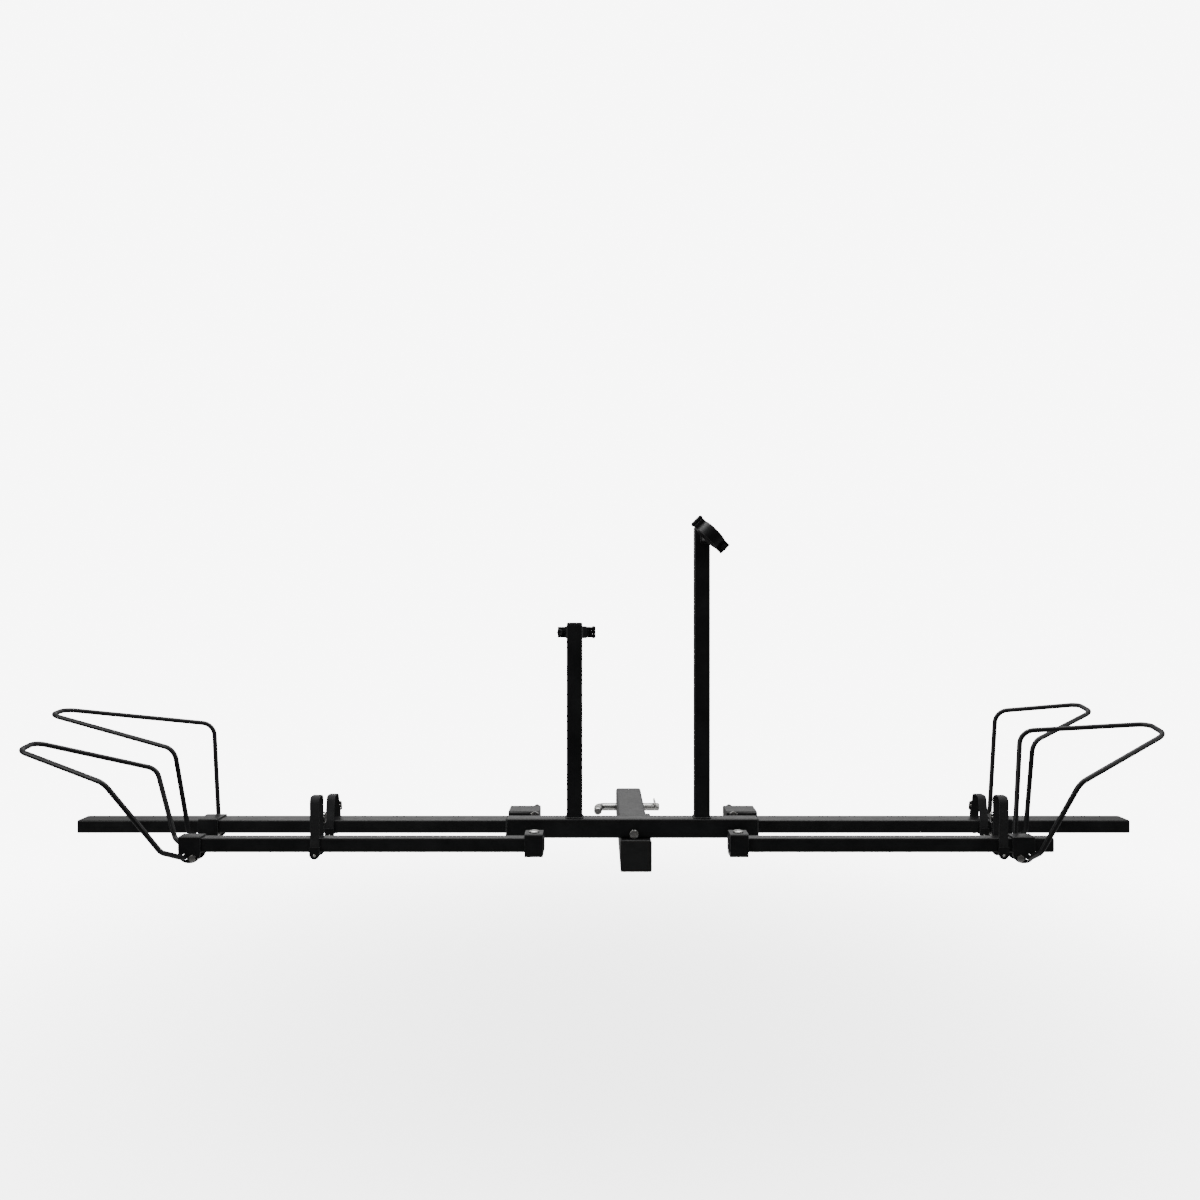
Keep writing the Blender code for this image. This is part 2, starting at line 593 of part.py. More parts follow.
class ClampFrame:
    """The clamp's own axes: along the gripped tube, across it, and back towards the upright."""

    def __init__(self, side):
        self.side = side
        self.centre = Vector((CLAMP_X[side], CLAMP_Y[side], UPRIGHT_TOP_Z[side] - CLAMP_DROP))
        self.back = 1.0 if side == "right" else -1.0
        angle = TUBE_ANGLE[side]
        self.along = Vector((math.cos(angle), 0.0, math.sin(angle)))
        self.back_axis = Vector((0.0, self.back, 0.0))
        self.across = self.back_axis.cross(self.along)

    def point(self, along, across, back):
        """A point given in the clamp's axes, in the rack's frame."""
        return self.centre + self.along * along + self.across * across + self.back_axis * back

    def outline(self, outline, along):
        """An (across, back) outline at a place along the gripped tube."""
        return [tuple(self.point(along, across, back)) for across, back in outline]

    def stack(self, outline, across, back):
        """An outline square to the back axis, centred at a distance across."""
        return [tuple(self.point(u, across + v, back)) for u, v in outline]


def half_ring(inner_radius, outer_radius, facing, lug):
    """Outer and inner lines of a half ring, with a flat lug at each end if it has lugs."""
    steps = 12
    outer, inner = [], []
    face = facing * JAW_SPLIT
    lug_back = facing * (JAW_SPLIT + LUG_THICKNESS)
    start = math.asin((JAW_SPLIT + LUG_THICKNESS) / outer_radius) if lug else 0.06
    if lug:
        outer.append((-HINGE_LUG_REACH, lug_back))
        inner.append((-HINGE_LUG_REACH, face))
    for step in range(steps + 1):
        outer_angle = math.pi - start - step / steps * (math.pi - 2 * start)
        inner_start = 0.03 if lug else start
        inner_angle = math.pi - inner_start - step / steps * (math.pi - 2 * inner_start)
        outer.append((outer_radius * math.cos(outer_angle), facing * outer_radius * math.sin(outer_angle)))
        inner.append((inner_radius * math.cos(inner_angle), facing * inner_radius * math.sin(inner_angle)))
    if lug:
        outer.append((BOLT_LUG_REACH, lug_back))
        inner.append((BOLT_LUG_REACH, face))
    return outer, inner


def clamp_tool(frame, name, outline, across, backs, carrier):
    """A hidden prism along the back axis, used to cut or join."""
    rings = [frame.stack(outline, across, back) for back in backs]
    return add_object(name, *join_rings(rings, closed=False), None, carrier)


def build_rear_jaw(frame, carrier):
    side = frame.side
    span = (-JAW_WIDTH / 2, JAW_WIDTH / 2)
    jaw = strip_prism(f"clamp_rear_jaw_{side}", *half_ring(JAW_INNER_RADIUS, JAW_OUTER_RADIUS, 1.0, True),
                      frame.outline, span, "black_steel", carrier)
    boss = clamp_tool(frame, f"join_clamp_boss_{side}", circle(9.0, 16), 0.0,
                      (JAW_OUTER_RADIUS - 2.6, JAW_OUTER_RADIUS + 4.0), carrier)
    boolean(jaw, boss, "UNION")
    slot = rounded_rectangle(3.2, 8.0, 2.6)
    tool = clamp_tool(frame, f"cut_clamp_slot_{side}", slot, CLAMP_BOLT_OFFSET + 4.6, (-2.0, 8.0), carrier)
    boolean(jaw, tool, "DIFFERENCE")
    pad = half_ring(PAD_INNER_RADIUS, JAW_INNER_RADIUS - GAP, 1.0, False)
    strip_prism(f"clamp_pad_{side}", *pad, frame.outline, (span[0] - 1.0, span[1] + 1.0),
                "black_rubber", carrier)
    pin = [[tuple(frame.point(along, u - HINGE_OFFSET, v)) for u, v in circle(radius)]
           for radius, along in ((HINGE_RADIUS - 0.8, span[0] - 1.5), (HINGE_RADIUS, span[0] - 0.7),
                                 (HINGE_RADIUS, span[1] + 0.7), (HINGE_RADIUS - 0.8, span[1] + 1.5))]
    add_object(f"clamp_hinge_pin_{side}", *join_rings(pin, closed=False), "black_steel", carrier)


def build_front_jaw(frame, carrier):
    side = frame.side
    span = (-JAW_WIDTH / 2, JAW_WIDTH / 2)
    jaw = strip_prism(f"clamp_front_jaw_{side}", *half_ring(JAW_INNER_RADIUS, JAW_OUTER_RADIUS, -1.0, True),
                      frame.outline, span, "black_steel", carrier)
    tool = clamp_tool(frame, f"cut_clamp_bolt_hole_{side}", circle(CLAMP_BOLT_RADIUS + 0.4),
                      CLAMP_BOLT_OFFSET, (-12.0, 2.0), carrier)
    boolean(jaw, tool, "DIFFERENCE")
    face = -JAW_SPLIT - LUG_THICKNESS - GAP
    head, soft_head = hexagon(CLAMP_BOLT_FLATS), circle(CLAMP_BOLT_FLATS / 2 - 0.3)
    shaft = circle(CLAMP_BOLT_RADIUS)
    stations = ((soft_head, face - 4.0), (head, face - 3.4), (head, face), (shaft, face), (shaft, 13.5))
    rings = [frame.stack(outline, CLAMP_BOLT_OFFSET, back) for outline, back in stations]
    add_object(f"clamp_bolt_{side}", *join_rings(rings, closed=False), "black_steel", carrier)


def build_knob(frame, carrier):
    """A fluted thumb nut, hollow where the bolt's end goes in."""
    base = JAW_SPLIT + LUG_THICKNESS + GAP
    fluted = [(u * (1.0 if i % 2 else 0.86), v * (1.0 if i % 2 else 0.86))
              for i, (u, v) in enumerate(circle(KNOB_RADIUS, 16))]
    bore = circle(KNOB_BORE, 16)
    stations = ((bore, base), (circle(4.6, 16), base), (fluted, base + 1.2), (fluted, base + 9.4),
                (circle(4.0, 16), base + 10.4), (circle(0.8, 16), base + 10.8))
    rings = [frame.stack(outline, CLAMP_BOLT_OFFSET, back) for outline, back in stations]
    bore_end = frame.stack(bore, CLAMP_BOLT_OFFSET, base + 9.0)
    points, faces = join_rings([bore_end] + rings, closed=False)
    add_object(f"clamp_knob_{frame.side}", points, faces, "black_plastic", carrier)


def build_clamp(side):
    frame = ClampFrame(side)
    upright_face = BEAM_MID_Y - frame.back * (UPRIGHT_SIZE / 2 + GAP)
    jaw_end = frame.centre.y + frame.back * (JAW_OUTER_RADIUS + 4.0 + GAP)
    bar(f"clamp_arm_{side}", "Y", sorted((upright_face, jaw_end)), (frame.centre.x, frame.centre.z),
        (CLAMP_BAR / 2, CLAMP_BAR / 2), "black_steel", corner=2.5)
    build_rear_jaw(frame, empty_at(f"axis_clamp_swivel_{side}", frame.centre))
    build_front_jaw(frame, empty_at(f"axis_clamp_hinge_{side}", frame.point(0.0, -HINGE_OFFSET, 0.0)))
    build_knob(frame, empty_at(f"axis_clamp_knob_{side}", frame.point(0.0, CLAMP_BOLT_OFFSET, 0.0)))


# ---------------------------------------------------------------- hitch pin

def build_hitch_pin():
    """A bent pin through the shank, and the spring clip through the pin's end."""
    pin_end_x, bend_x, handle_reach = 60.0, -62.0, -48.0
    carrier = empty_at("axis_hitch_pin", (0.0, 0.0, SHANK_MID_Z))
    corners = [(pin_end_x, 0.0, SHANK_MID_Z), (bend_x, 0.0, SHANK_MID_Z),
               (bend_x, handle_reach, SHANK_MID_Z)]
    path = rounded_path(corners, [0.0, 14.0, 0.0], 6, closed=False)
    pin = wire("hitch_pin", path, PIN_RADIUS, 14, False, "zinc", carrier)
    clip_x, clip_radius = 50.0, 1.7
    drill(pin, "cut_clip_hole", "Y", (clip_x, SHANK_MID_Z), (-12.0, 12.0), clip_radius + 0.5, carrier, 10)

    clip_carrier = empty_at("axis_hitch_clip", (clip_x, 0.0, SHANK_MID_Z))
    over = SHANK_MID_Z + PIN_RADIUS + clip_radius + 0.5
    corners = [(clip_x, 15.0, SHANK_MID_Z), (clip_x, -30.0, SHANK_MID_Z), (clip_x, -30.0, over + 4.0),
               (clip_x, -12.0, over + 4.0), (clip_x, -6.0, over), (clip_x, 6.0, over),
               (clip_x, 13.0, over + 4.0)]
    path = rounded_path(corners, [0.0, 6.5, 6.5, 4.0, 4.0, 4.0, 0.0], 5, closed=False)
    wire("hitch_pin_clip", path, clip_radius, 8, False, "zinc", clip_carrier)


def build_rack():
    clear_scene()
    build_shank()
    build_beam()
    build_side_bars()
    for side, sign in SIDES:
        build_near_sleeve(side, sign)
        build_far_sleeve(side, sign)
        build_upright(side)
        build_clamp(side)
        for row in ROWS:
            build_arm(side, sign, row)
            (arm_y, arm_z), _, _ = arm_line(row)
            hoop_carrier = empty_at(f"axis_{row}_hoop_{side}",
                                    (sign * HOOP_SHAPE[side, row]["foot"], arm_y, arm_z))
            build_hoop_bracket(side, sign, row, hoop_carrier)
            build_hoop(side, sign, row, hoop_carrier)
            build_strap(side, sign, row)
    build_hitch_pin()


build_rack()
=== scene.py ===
"""Looks for the hitch mounted bike rack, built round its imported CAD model.

Lengths are in millimetres in the CAD model's frame: +X to the right for someone behind the vehicle,
+Y towards the vehicle, +Z up.
"""
import json
import math

import bmesh
import bpy
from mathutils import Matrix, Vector


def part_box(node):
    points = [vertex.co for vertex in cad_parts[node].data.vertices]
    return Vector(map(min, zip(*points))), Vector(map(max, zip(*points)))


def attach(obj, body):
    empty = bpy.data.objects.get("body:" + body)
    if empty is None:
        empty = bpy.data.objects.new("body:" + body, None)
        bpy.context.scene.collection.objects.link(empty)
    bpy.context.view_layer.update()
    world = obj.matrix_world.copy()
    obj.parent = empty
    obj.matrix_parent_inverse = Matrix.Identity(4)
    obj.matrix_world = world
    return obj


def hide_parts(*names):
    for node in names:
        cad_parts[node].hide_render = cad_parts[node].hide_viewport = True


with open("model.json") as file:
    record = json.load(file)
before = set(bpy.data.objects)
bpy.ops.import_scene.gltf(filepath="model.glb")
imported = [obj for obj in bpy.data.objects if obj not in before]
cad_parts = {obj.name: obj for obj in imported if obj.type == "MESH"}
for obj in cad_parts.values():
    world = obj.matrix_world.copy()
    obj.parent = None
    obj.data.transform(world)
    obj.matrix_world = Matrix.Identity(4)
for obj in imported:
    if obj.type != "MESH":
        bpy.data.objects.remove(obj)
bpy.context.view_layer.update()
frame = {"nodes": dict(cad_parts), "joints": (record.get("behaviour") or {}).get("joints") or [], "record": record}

MM = 0.001
SIDES = (("left", -1.0), ("right", 1.0))
ROWS = ("near", "far")
BEHAVIOUR = frame["record"]["behaviour"]
BODY_OF = {node: body for body, nodes in BEHAVIOUR["bodies"].items() for node in nodes}
SLOT_OF = {part["node"]: part["material_slot"] for part in frame["record"]["subparts"]}
JOINTS = {joint["name"]: joint for joint in frame["joints"]}

# Camera and room. The eye sees BACKDROP, and the rack reflects a room that is dark on the eye's side.
CAMERA_PLACE = (-58.0, -2230.0, 437.0)
LENS = 33.6
SENSOR = 36.0
FLOOR_Z = -420.0
FLOOR_RADIUS = 9000.0
FLOOR_FADE = (0.3, 2.4)         # metres from the rack's middle, where the fade starts and ends
FLOOR_CLEAR = 0.4               # how clear the floor is before the fade
BACKDROP = 8.0
ROOM_LIGHT = 0.6
ROOM_RAMPS = (                  # direction's axis, its low and high end, and the light at each
    ("Y", -0.1, 0.8, 0.12, 0.55),
    ("Z", 0.2, 1.0, 0.0, 0.8),
)
SOFTBOXES = (                   # name, place, aim, width and height, watts
    ("overhead", (0, -250, 2300), (0, -350, 100), (3200, 1800), 90.0),
    ("left_front", (-2600, -1900, 1500), (0, -400, 150), (1400, 1800), 45.0),
    ("right_front", (2700, -1500, 1200), (0, -400, 150), (1000, 1600), 20.0),
    ("behind", (0, 2400, 1100), (0, -300, 100), (3600, 900), 10.0),
)

# Steel edges of the CAD solids are softened by this much, where they turn by more than this angle
EDGE_SOFTENING = 0.55
SOFTENED_ANGLE = 50.0
SMOOTH_ANGLE = 38.0             # pieces shade smooth below this

# Wheel hoops: round rod from the bracket up the tyre's sides, out over it and round a blunt tip. Distances
# are outboard. Where two values are given, the side away from the vehicle comes first.
ROD_RADIUS = 4.0
HOOP_HALF_WIDTH = 76.7          # this and the next are 0.3 inside the CAD rod
HOOP_TIP_HALF_WIDTH = 25.7
HOOP_FOOT_DROP = 17.5           # below the arm's middle
HOOP_FOOT_OUTBOARD = 7.0        # from the bracket's middle
HOOP_FOOT_ASIDE = 8.0           # from the arm's side, as the next
HOOP_KNEE_ASIDE = 38.0
HOOP_KNEE_RISE = 15.0           # above the foot
HOOP_CORNER_RADII = (8.0, 14.0, 24.0, 21.0)
HOOP_SHAPE = {                  # knee distances, bends (distance and height), tip heights
    ("left", "near"): ((716.0, 732.0), ((790.0, 167.0), (772.0, 165.0)), (208.0, 214.0)),
    ("left", "far"): ((747.0, 738.0), ((765.0, 189.0), (752.0, 214.0)), (241.0, 245.0)),
    ("right", "near"): ((603.0, 600.0), ((650.0, 167.0), (619.0, 226.0)), (233.0, 243.0)),
    ("right", "far"): ((655.0, 636.0), ((661.0, 201.0), (653.0, 237.0)), (246.0, 254.0)),
}

# Wheel straps
WEBBING_WIDTH = 14.0
WEBBING_THICKNESS = 1.7
CAD_WEBBING_THICKNESS = 2.0
STRAP_TOP_HALF = 14.0
STRAP_CORNER_RADII = (3.0, 3.0, 30.0, 9.0, 9.0, 30.0)
WEAVE_PITCH = 1.1
WEAVE_RELIEF = 0.16
BUCKLE_HALF_WIDTH = 9.4
BUCKLE_HALF_HEIGHT = 7.5
BUCKLE_WIRE_RADIUS = 1.4
BUCKLE_HEIGHT_SHARE = 0.42      # of the strap's rise above the arm
ANCHOR_HALF_WIDTH = 8.0
ANCHOR_DROP = 10.0              # below the arm's underside
ANCHOR_PLATE = 1.6
RIVET_RADIUS = 1.4
RIVET_DROP = 4.0                # below the arm's underside

# Clamps
PAD_INNER_RADIUS = 16.5
PAD_OUTER_RADIUS = 18.2
JAW_WIDTH = 18.5
HINGE_PIN_RADIUS = 2.6
CLAMP_SCREW_FLATS = 8.0
CLAMP_SCREW_RADIUS = 2.5

# Fasteners
HEX_FLATS = 13.0
HEX_THREAD_RADIUS = 4.0
HOOP_BOLT_FLATS = 10.0
HOOP_BOLT_RADIUS = 3.0
THREAD_PITCH = 1.25
THREAD_ROOT_SHARE = 0.86        # of the thread's radius
HEAD_DEPTH_SHARE = 0.42         # of the width across flats
HEX_CHAMFER_ANGLE = 32.0
THREAD_TAIL = 4.0               # beyond the nut
WASHER = 1.3
PLUG_GAP = 0.3


# ---------------------------------------------------------------- materials

class Finish:
    """One procedural material: a Principled shader with helpers for what feeds it."""

    def __init__(self, name, colour, roughness, metallic=0.0, specular=0.5):
        self.material = bpy.data.materials.new(name)
        self.material.use_nodes = True
        self.tree = self.material.node_tree
        self.shader = self.tree.nodes["Principled BSDF"]
        self.shader.inputs["Base Color"].default_value = (*colour, 1.0)
        self.shader.inputs["Roughness"].default_value = roughness
        self.shader.inputs["Metallic"].default_value = metallic
        self.shader.inputs["Specular IOR Level"].default_value = specular
        self.place = self.add("ShaderNodeTexCoord").outputs["Object"]

    def feed(self, socket, value):
        """Joins a socket to what feeds it, or sets it to a plain value."""
        if isinstance(value, bpy.types.NodeSocket):
            self.tree.links.new(value, socket)
        else:
            socket.default_value = value

    def add(self, kind, **inputs):
        """A node whose named inputs are fed."""
        node = self.tree.nodes.new(kind)
        for name, value in inputs.items():
            self.feed(node.inputs[name.replace("_", " ")], value)
        return node

    def noise(self, scale, detail=2.0, rough=0.5):
        made = self.add("ShaderNodeTexNoise", Vector=self.place, Scale=scale, Detail=detail, Roughness=rough)
        return made.outputs["Fac"]

    def remap(self, value, low, high, to_low=0.0, to_high=1.0):
        """The value's range low to high, clamped and turned into to_low to to_high."""
        node = self.add("ShaderNodeMapRange", Value=value, From_Min=low, From_Max=high,
                        To_Min=to_low, To_Max=to_high)
        return node.outputs["Result"]

    def math(self, operation, first, second):
        node = self.tree.nodes.new("ShaderNodeMath")
        node.operation = operation
        for socket, value in zip(node.inputs, (first, second)):
            self.feed(socket, value)
        return node.outputs[0]

    def blend(self, share, first, second):
        """A colour between two colours, each a triple or a socket."""
        node = self.tree.nodes.new("ShaderNodeMix")
        node.data_type = "RGBA"
        self.tree.links.new(share, node.inputs["Factor"])
        for socket, value in zip((node.inputs[6], node.inputs[7]), (first, second)):
            self.feed(socket, (*value, 1.0) if isinstance(value, tuple) else value)
        return node.outputs[2]

    def edges(self, radius):
        """1 on edges sharper than the radius, 0 on flats."""
        bevel = self.tree.nodes.new("ShaderNodeBevel")
        bevel.samples = 4
        bevel.inputs["Radius"].default_value = radius * MM
        normal = self.tree.nodes.new("ShaderNodeNewGeometry").outputs["Normal"]
        dot = self.tree.nodes.new("ShaderNodeVectorMath")
        dot.operation = "DOT_PRODUCT"
        self.tree.links.new(bevel.outputs["Normal"], dot.inputs[0])
        self.tree.links.new(normal, dot.inputs[1])
        return self.remap(dot.outputs["Value"], 0.95, 0.80)

    def facing_up(self):
        normal = self.tree.nodes.new("ShaderNodeNewGeometry").outputs["Normal"]
        split = self.add("ShaderNodeSeparateXYZ", Vector=normal)
        return self.remap(split.outputs["Z"], 0.6, 1.0)

    def colour(self, socket):
        self.tree.links.new(socket, self.shader.inputs["Base Color"])

    def roughness(self, socket):
        self.tree.links.new(socket, self.shader.inputs["Roughness"])

    def bumps(self, *layers):
        """Bump maps one over another, each a height, a strength and a depth in millimetres."""
        normal = None
        for height, strength, depth in layers:
            node = self.add("ShaderNodeBump", Height=height, Strength=strength, Distance=depth * MM)
            if normal:
                self.tree.links.new(normal, node.inputs["Normal"])
            normal = node.outputs["Normal"]
        self.tree.links.new(normal, self.shader.inputs["Normal"])


def powder_coat():
    """Satin black powder coat: orange peel, uneven gloss, dust on top faces, and edges lightened both as worn thin
    paint and as a painted highlight.
    """
    finish = Finish("powder_coat", (0.004, 0.004, 0.0044), 0.34, specular=0.24)
    patches = finish.noise(26.0, 5.0, 0.6)
    scuffs = finish.noise(140.0, 6.0, 0.7)
    # The pale grey on sharp edges is partly thin, worn paint and partly a painted edge highlight.
    edge_wear_and_highlight = finish.math("MULTIPLY", finish.edges(1.2), finish.remap(scuffs, 0.42, 0.62, 0.3, 1.0))
    dust = finish.math("MULTIPLY", finish.facing_up(), finish.remap(patches, 0.4, 0.75, 0.05, 0.45))
    clean = finish.blend(finish.remap(patches, 0.3, 0.7), (0.0050, 0.0050, 0.0054), (0.0080, 0.0080, 0.0085))
    edge_worn_and_highlit_colour = finish.blend(edge_wear_and_highlight, clean, (0.095, 0.096, 0.100))
    finish.colour(finish.blend(dust, edge_worn_and_highlit_colour, (0.020, 0.020, 0.0195)))
    finish.roughness(finish.remap(finish.math("ADD", patches, scuffs), 0.7, 1.3, 0.28, 0.44))
    finish.bumps((finish.noise(620.0, 2.0), 0.16, 0.25), (finish.noise(2600.0, 1.0), 0.08, 0.05))
    return finish.material


def zinc_plate():
    """Bright zinc: spangled patches, a faint straw tint and fine turning marks."""
    finish = Finish("zinc_plate", (0.46, 0.46, 0.45), 0.30, metallic=1.0)
    cells = finish.add("ShaderNodeTexVoronoi", Vector=finish.place, Scale=900.0).outputs["Distance"]
    clouds = finish.noise(260.0, 5.0, 0.65)
    bright = finish.blend(finish.remap(cells, 0.1, 0.8), (0.50, 0.50, 0.49), (0.36, 0.36, 0.355))
    finish.colour(finish.blend(finish.remap(clouds, 0.45, 0.75, 0.0, 0.6), bright, (0.36, 0.325, 0.25)))
    finish.roughness(finish.remap(clouds, 0.3, 0.75, 0.20, 0.42))
    finish.bumps((clouds, 0.12, 0.12), (cells, 0.05, 0.05))
    return finish.material


def moulded_plastic():
    """Black moulded plastic with a fine spark-eroded grain."""
    finish = Finish("moulded_plastic", (0.006, 0.006, 0.006), 0.50, specular=0.28)
    grain = finish.noise(1500.0, 3.0, 0.6)
    clouds = finish.noise(60.0, 4.0)
    rubbed = finish.math("MULTIPLY", finish.edges(1.2), finish.remap(clouds, 0.4, 0.6, 0.3, 1.0))
    base = finish.blend(finish.remap(clouds, 0.3, 0.7), (0.005, 0.005, 0.005), (0.009, 0.009, 0.009))
    finish.colour(finish.blend(rubbed, base, (0.085, 0.085, 0.085)))
    finish.roughness(finish.remap(clouds, 0.3, 0.7, 0.44, 0.60))
    finish.bumps((grain, 0.35, 0.12))
    return finish.material


def soft_rubber():
    """Matt rubber, slightly chalky, with a pebbled skin."""
    finish = Finish("soft_rubber", (0.018, 0.018, 0.018), 0.8, specular=0.3)
    pebbles = finish.add("ShaderNodeTexVoronoi", Vector=finish.place, Scale=1100.0).outputs["Distance"]
    bloom = finish.noise(90.0, 5.0, 0.6)
    finish.colour(finish.blend(finish.remap(bloom, 0.4, 0.75), (0.008, 0.008, 0.008), (0.019, 0.019, 0.0185)))
    finish.roughness(finish.remap(bloom, 0.3, 0.7, 0.72, 0.9))
    finish.bumps((pebbles, 0.4, 0.15), (bloom, 0.1, 0.2))
    return finish.material


def woven_webbing():
    """Black polyester webbing: warp and weft threads laid out along and across the strap."""
    finish = Finish("woven_webbing", (0.016, 0.016, 0.017), 0.85, specular=0.25)
    finish.shader.inputs["Sheen Weight"].default_value = 0.12
    finish.shader.inputs["Sheen Roughness"].default_value = 0.5
    threads = finish.add("ShaderNodeUVMap").outputs["UV"]
    thread_scale = 1.0 / (WEAVE_PITCH * MM) / math.tau
    weft = finish.add("ShaderNodeTexWave", Vector=threads, Scale=thread_scale, Distortion=0.6, Detail=1.0)
    weft.bands_direction = "X"
    warp = finish.add("ShaderNodeTexWave", Vector=threads, Scale=thread_scale * 1.6, Distortion=0.5,
                      Detail=1.0)
    warp.bands_direction = "Y"
    crossing = finish.math("MULTIPLY", weft.outputs["Fac"], warp.outputs["Fac"])
    fuzz = finish.noise(2400.0, 4.0, 0.7)
    fade = finish.noise(70.0, 3.0)
    thread = finish.blend(crossing, (0.004, 0.004, 0.0045), (0.016, 0.016, 0.017))
    finish.colour(finish.blend(finish.remap(fade, 0.45, 0.8, 0.0, 0.5), thread, (0.022, 0.022, 0.0225)))
    finish.roughness(finish.remap(fuzz, 0.3, 0.7, 0.75, 0.95))
    finish.bumps((crossing, 0.6, 0.25), (fuzz, 0.3, 0.08))
    return finish.material


MATERIALS = {
    "black_steel": powder_coat(),
    "black_plastic": moulded_plastic(),
    "black_rubber": soft_rubber(),
    "black_webbing": woven_webbing(),
    "zinc": zinc_plate(),
}


# ---------------------------------------------------------------- shapes

def cad_box(node):
    """Lowest and highest corner of a CAD node, in millimetres."""
    low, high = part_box(node)
    return low / MM, high / MM


def settle(made, slot, body, stands_for=()):
    """Gives a piece its finish and body, and hides the CAD nodes that it stands for."""
    made.data.materials.append(MATERIALS[slot])
    bpy.context.scene.collection.objects.link(made)
    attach(made, body)
    if stands_for:
        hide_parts(*stands_for)
    return made


def piece(name, points, faces, slot, body, stands_for=(), thread_lines=None):
    """A mesh from points in millimetres. thread_lines gives each face corner's UV, in millimetres too."""
    mesh = bpy.data.meshes.new(name)
    mesh.from_pydata([Vector(point) * MM for point in points], [], faces)
    if thread_lines:
        layer = mesh.uv_layers.new(name="UVMap")
        layer.data.foreach_set("uv", [value * MM for pair in thread_lines for value in pair])
    work = bmesh.new()
    work.from_mesh(mesh)
    bmesh.ops.recalc_face_normals(work, faces=work.faces)
    work.to_mesh(mesh)
    work.free()
    mesh.shade_smooth()
    mesh.set_sharp_from_angle(angle=math.radians(SMOOTH_ANGLE))
    return settle(bpy.data.objects.new(name, mesh), slot, body, stands_for)


def loft(rings, closed=False):
    """Quads between neighbouring rings of equal length, capped at both ends unless closed."""
    count = len(rings[0])
    faces = []
    for span in range(len(rings) if closed else len(rings) - 1):
        start, after = span * count, (span + 1) % len(rings) * count
        for index in range(count):
            following = (index + 1) % count
            faces.append((start + index, start + following, after + following, after + index))
    if not closed:
        faces.append(tuple(range(count)))
        faces.append(tuple(range((len(rings) - 1) * count, len(rings) * count)))
    return [point for ring in rings for point in ring], faces


def together(*solids):
    """Several (points, faces) solids as one."""
    points, faces = [], []
    for more_points, more_faces in solids:
        faces += [tuple(index + len(points) for index in face) for face in more_faces]
        points += more_points
    return points, faces


def rounded_path(corners, radii, steps, closed):
    """Points along straight runs with an arc of each radius at each corner."""
    points = []
    count = len(corners)
    for index, radius in enumerate(radii):
        corner = Vector(corners[index])
        if not closed and index in (0, count - 1):
            points.append(corner)
            continue
        before = (Vector(corners[index - 1]) - corner).normalized()
        after = (Vector(corners[(index + 1) % count]) - corner).normalized()
        half_angle = before.angle(after) / 2
        centre = corner + (before + after).normalized() * (radius / math.sin(half_angle))
        start = corner + before * (radius / math.tan(half_angle)) - centre
        end = corner + after * (radius / math.tan(half_angle)) - centre
        sweep = start.angle(end)
        for step in range(steps + 1):
            share = step / steps
            turned = start * math.sin((1 - share) * sweep) + end * math.sin(share * sweep)
            points.append(centre + turned / math.sin(sweep))
    return points


def resampled(path, pitch, closed):
    """Evenly spaced points along a path, and the spacing."""
    line = [Vector(point) for point in path]
    if closed:
        line.append(line[0])
    reach = [0.0]
    for before, after in zip(line, line[1:]):
        reach.append(reach[-1] + (after - before).length)
    count = max(2, round(reach[-1] / pitch / 2) * 2)
    points, span = [], 0
    for step in range(count if closed else count + 1):
        along = reach[-1] * step / count
        while span < len(line) - 2 and reach[span + 1] < along:
            span += 1
        share = (along - reach[span]) / max(reach[span + 1] - reach[span], 1e-9)
        points.append(line[span].lerp(line[span + 1], min(share, 1.0)))
    return points, reach[-1] / count


def directions(points, closed):
    """The direction of travel at each point of a path."""
    found = []
    for index, point in enumerate(points):
        ahead = points[(index + 1) % len(points)] if closed or index < len(points) - 1 else point
        behind = points[index - 1] if closed or index else point
        found.append((ahead - behind).normalized())
    return found


def rod(name, path, radius, closed, slot, body, stands_for=()):
    """A round rod along a path, its free ends slightly rounded."""
    end_share = 0.72
    curve = bpy.data.curves.new(name, "CURVE")
    curve.dimensions = "3D"
    curve.bevel_depth = radius * MM
    curve.bevel_resolution = 6
    curve.use_fill_caps = not closed
    points = [Vector(point) for point in path]
    shares = [1.0] * len(points)
    if not closed:
        rounding = radius * 0.3
        start = points[0].lerp(points[1], rounding / (points[1] - points[0]).length)
        end = points[-1].lerp(points[-2], rounding / (points[-2] - points[-1]).length)
        points = [points[0], start, *points[1:-1], end, points[-1]]
        shares = [end_share, *[1.0] * (len(points) - 2), end_share]
    spline = curve.splines.new("POLY")
    spline.points.add(len(points) - 1)
    spline.use_cyclic_u = closed
    spline.use_smooth = True
    for knot, point, share in zip(spline.points, points, shares):
        knot.co = (*(point * MM), 1.0)
        knot.radius = share
    return settle(bpy.data.objects.new(name, curve), slot, body, stands_for)


def weld_bead(name, path, body, closed=False, radius=2.1):
    """A weld bead along a path, swollen once in every ripple."""
    ripple, pitch, sides = 2.9, 0.55, 10
    points, step = resampled(path, pitch, closed)
    rings = []
    for index, (point, along) in enumerate(zip(points, directions(points, closed))):
        side = along.orthogonal().normalized() if abs(along.z) > 0.9 else along.cross((0, 0, 1)).normalized()
        up = side.cross(along)
        phase = index * step / ripple
        swell = radius * (0.80 + 0.20 * abs(math.sin(math.pi * phase)) + 0.05 * math.sin(0.61 * phase))
        if not closed and index in (0, len(points) - 1):
            swell *= 0.5
        rings.append([point + side * swell * math.cos(turn) + up * swell * math.sin(turn)
                      for turn in (math.tau * corner / sides for corner in range(sides))])
    return piece(name, *loft(rings, closed), "black_steel", body)


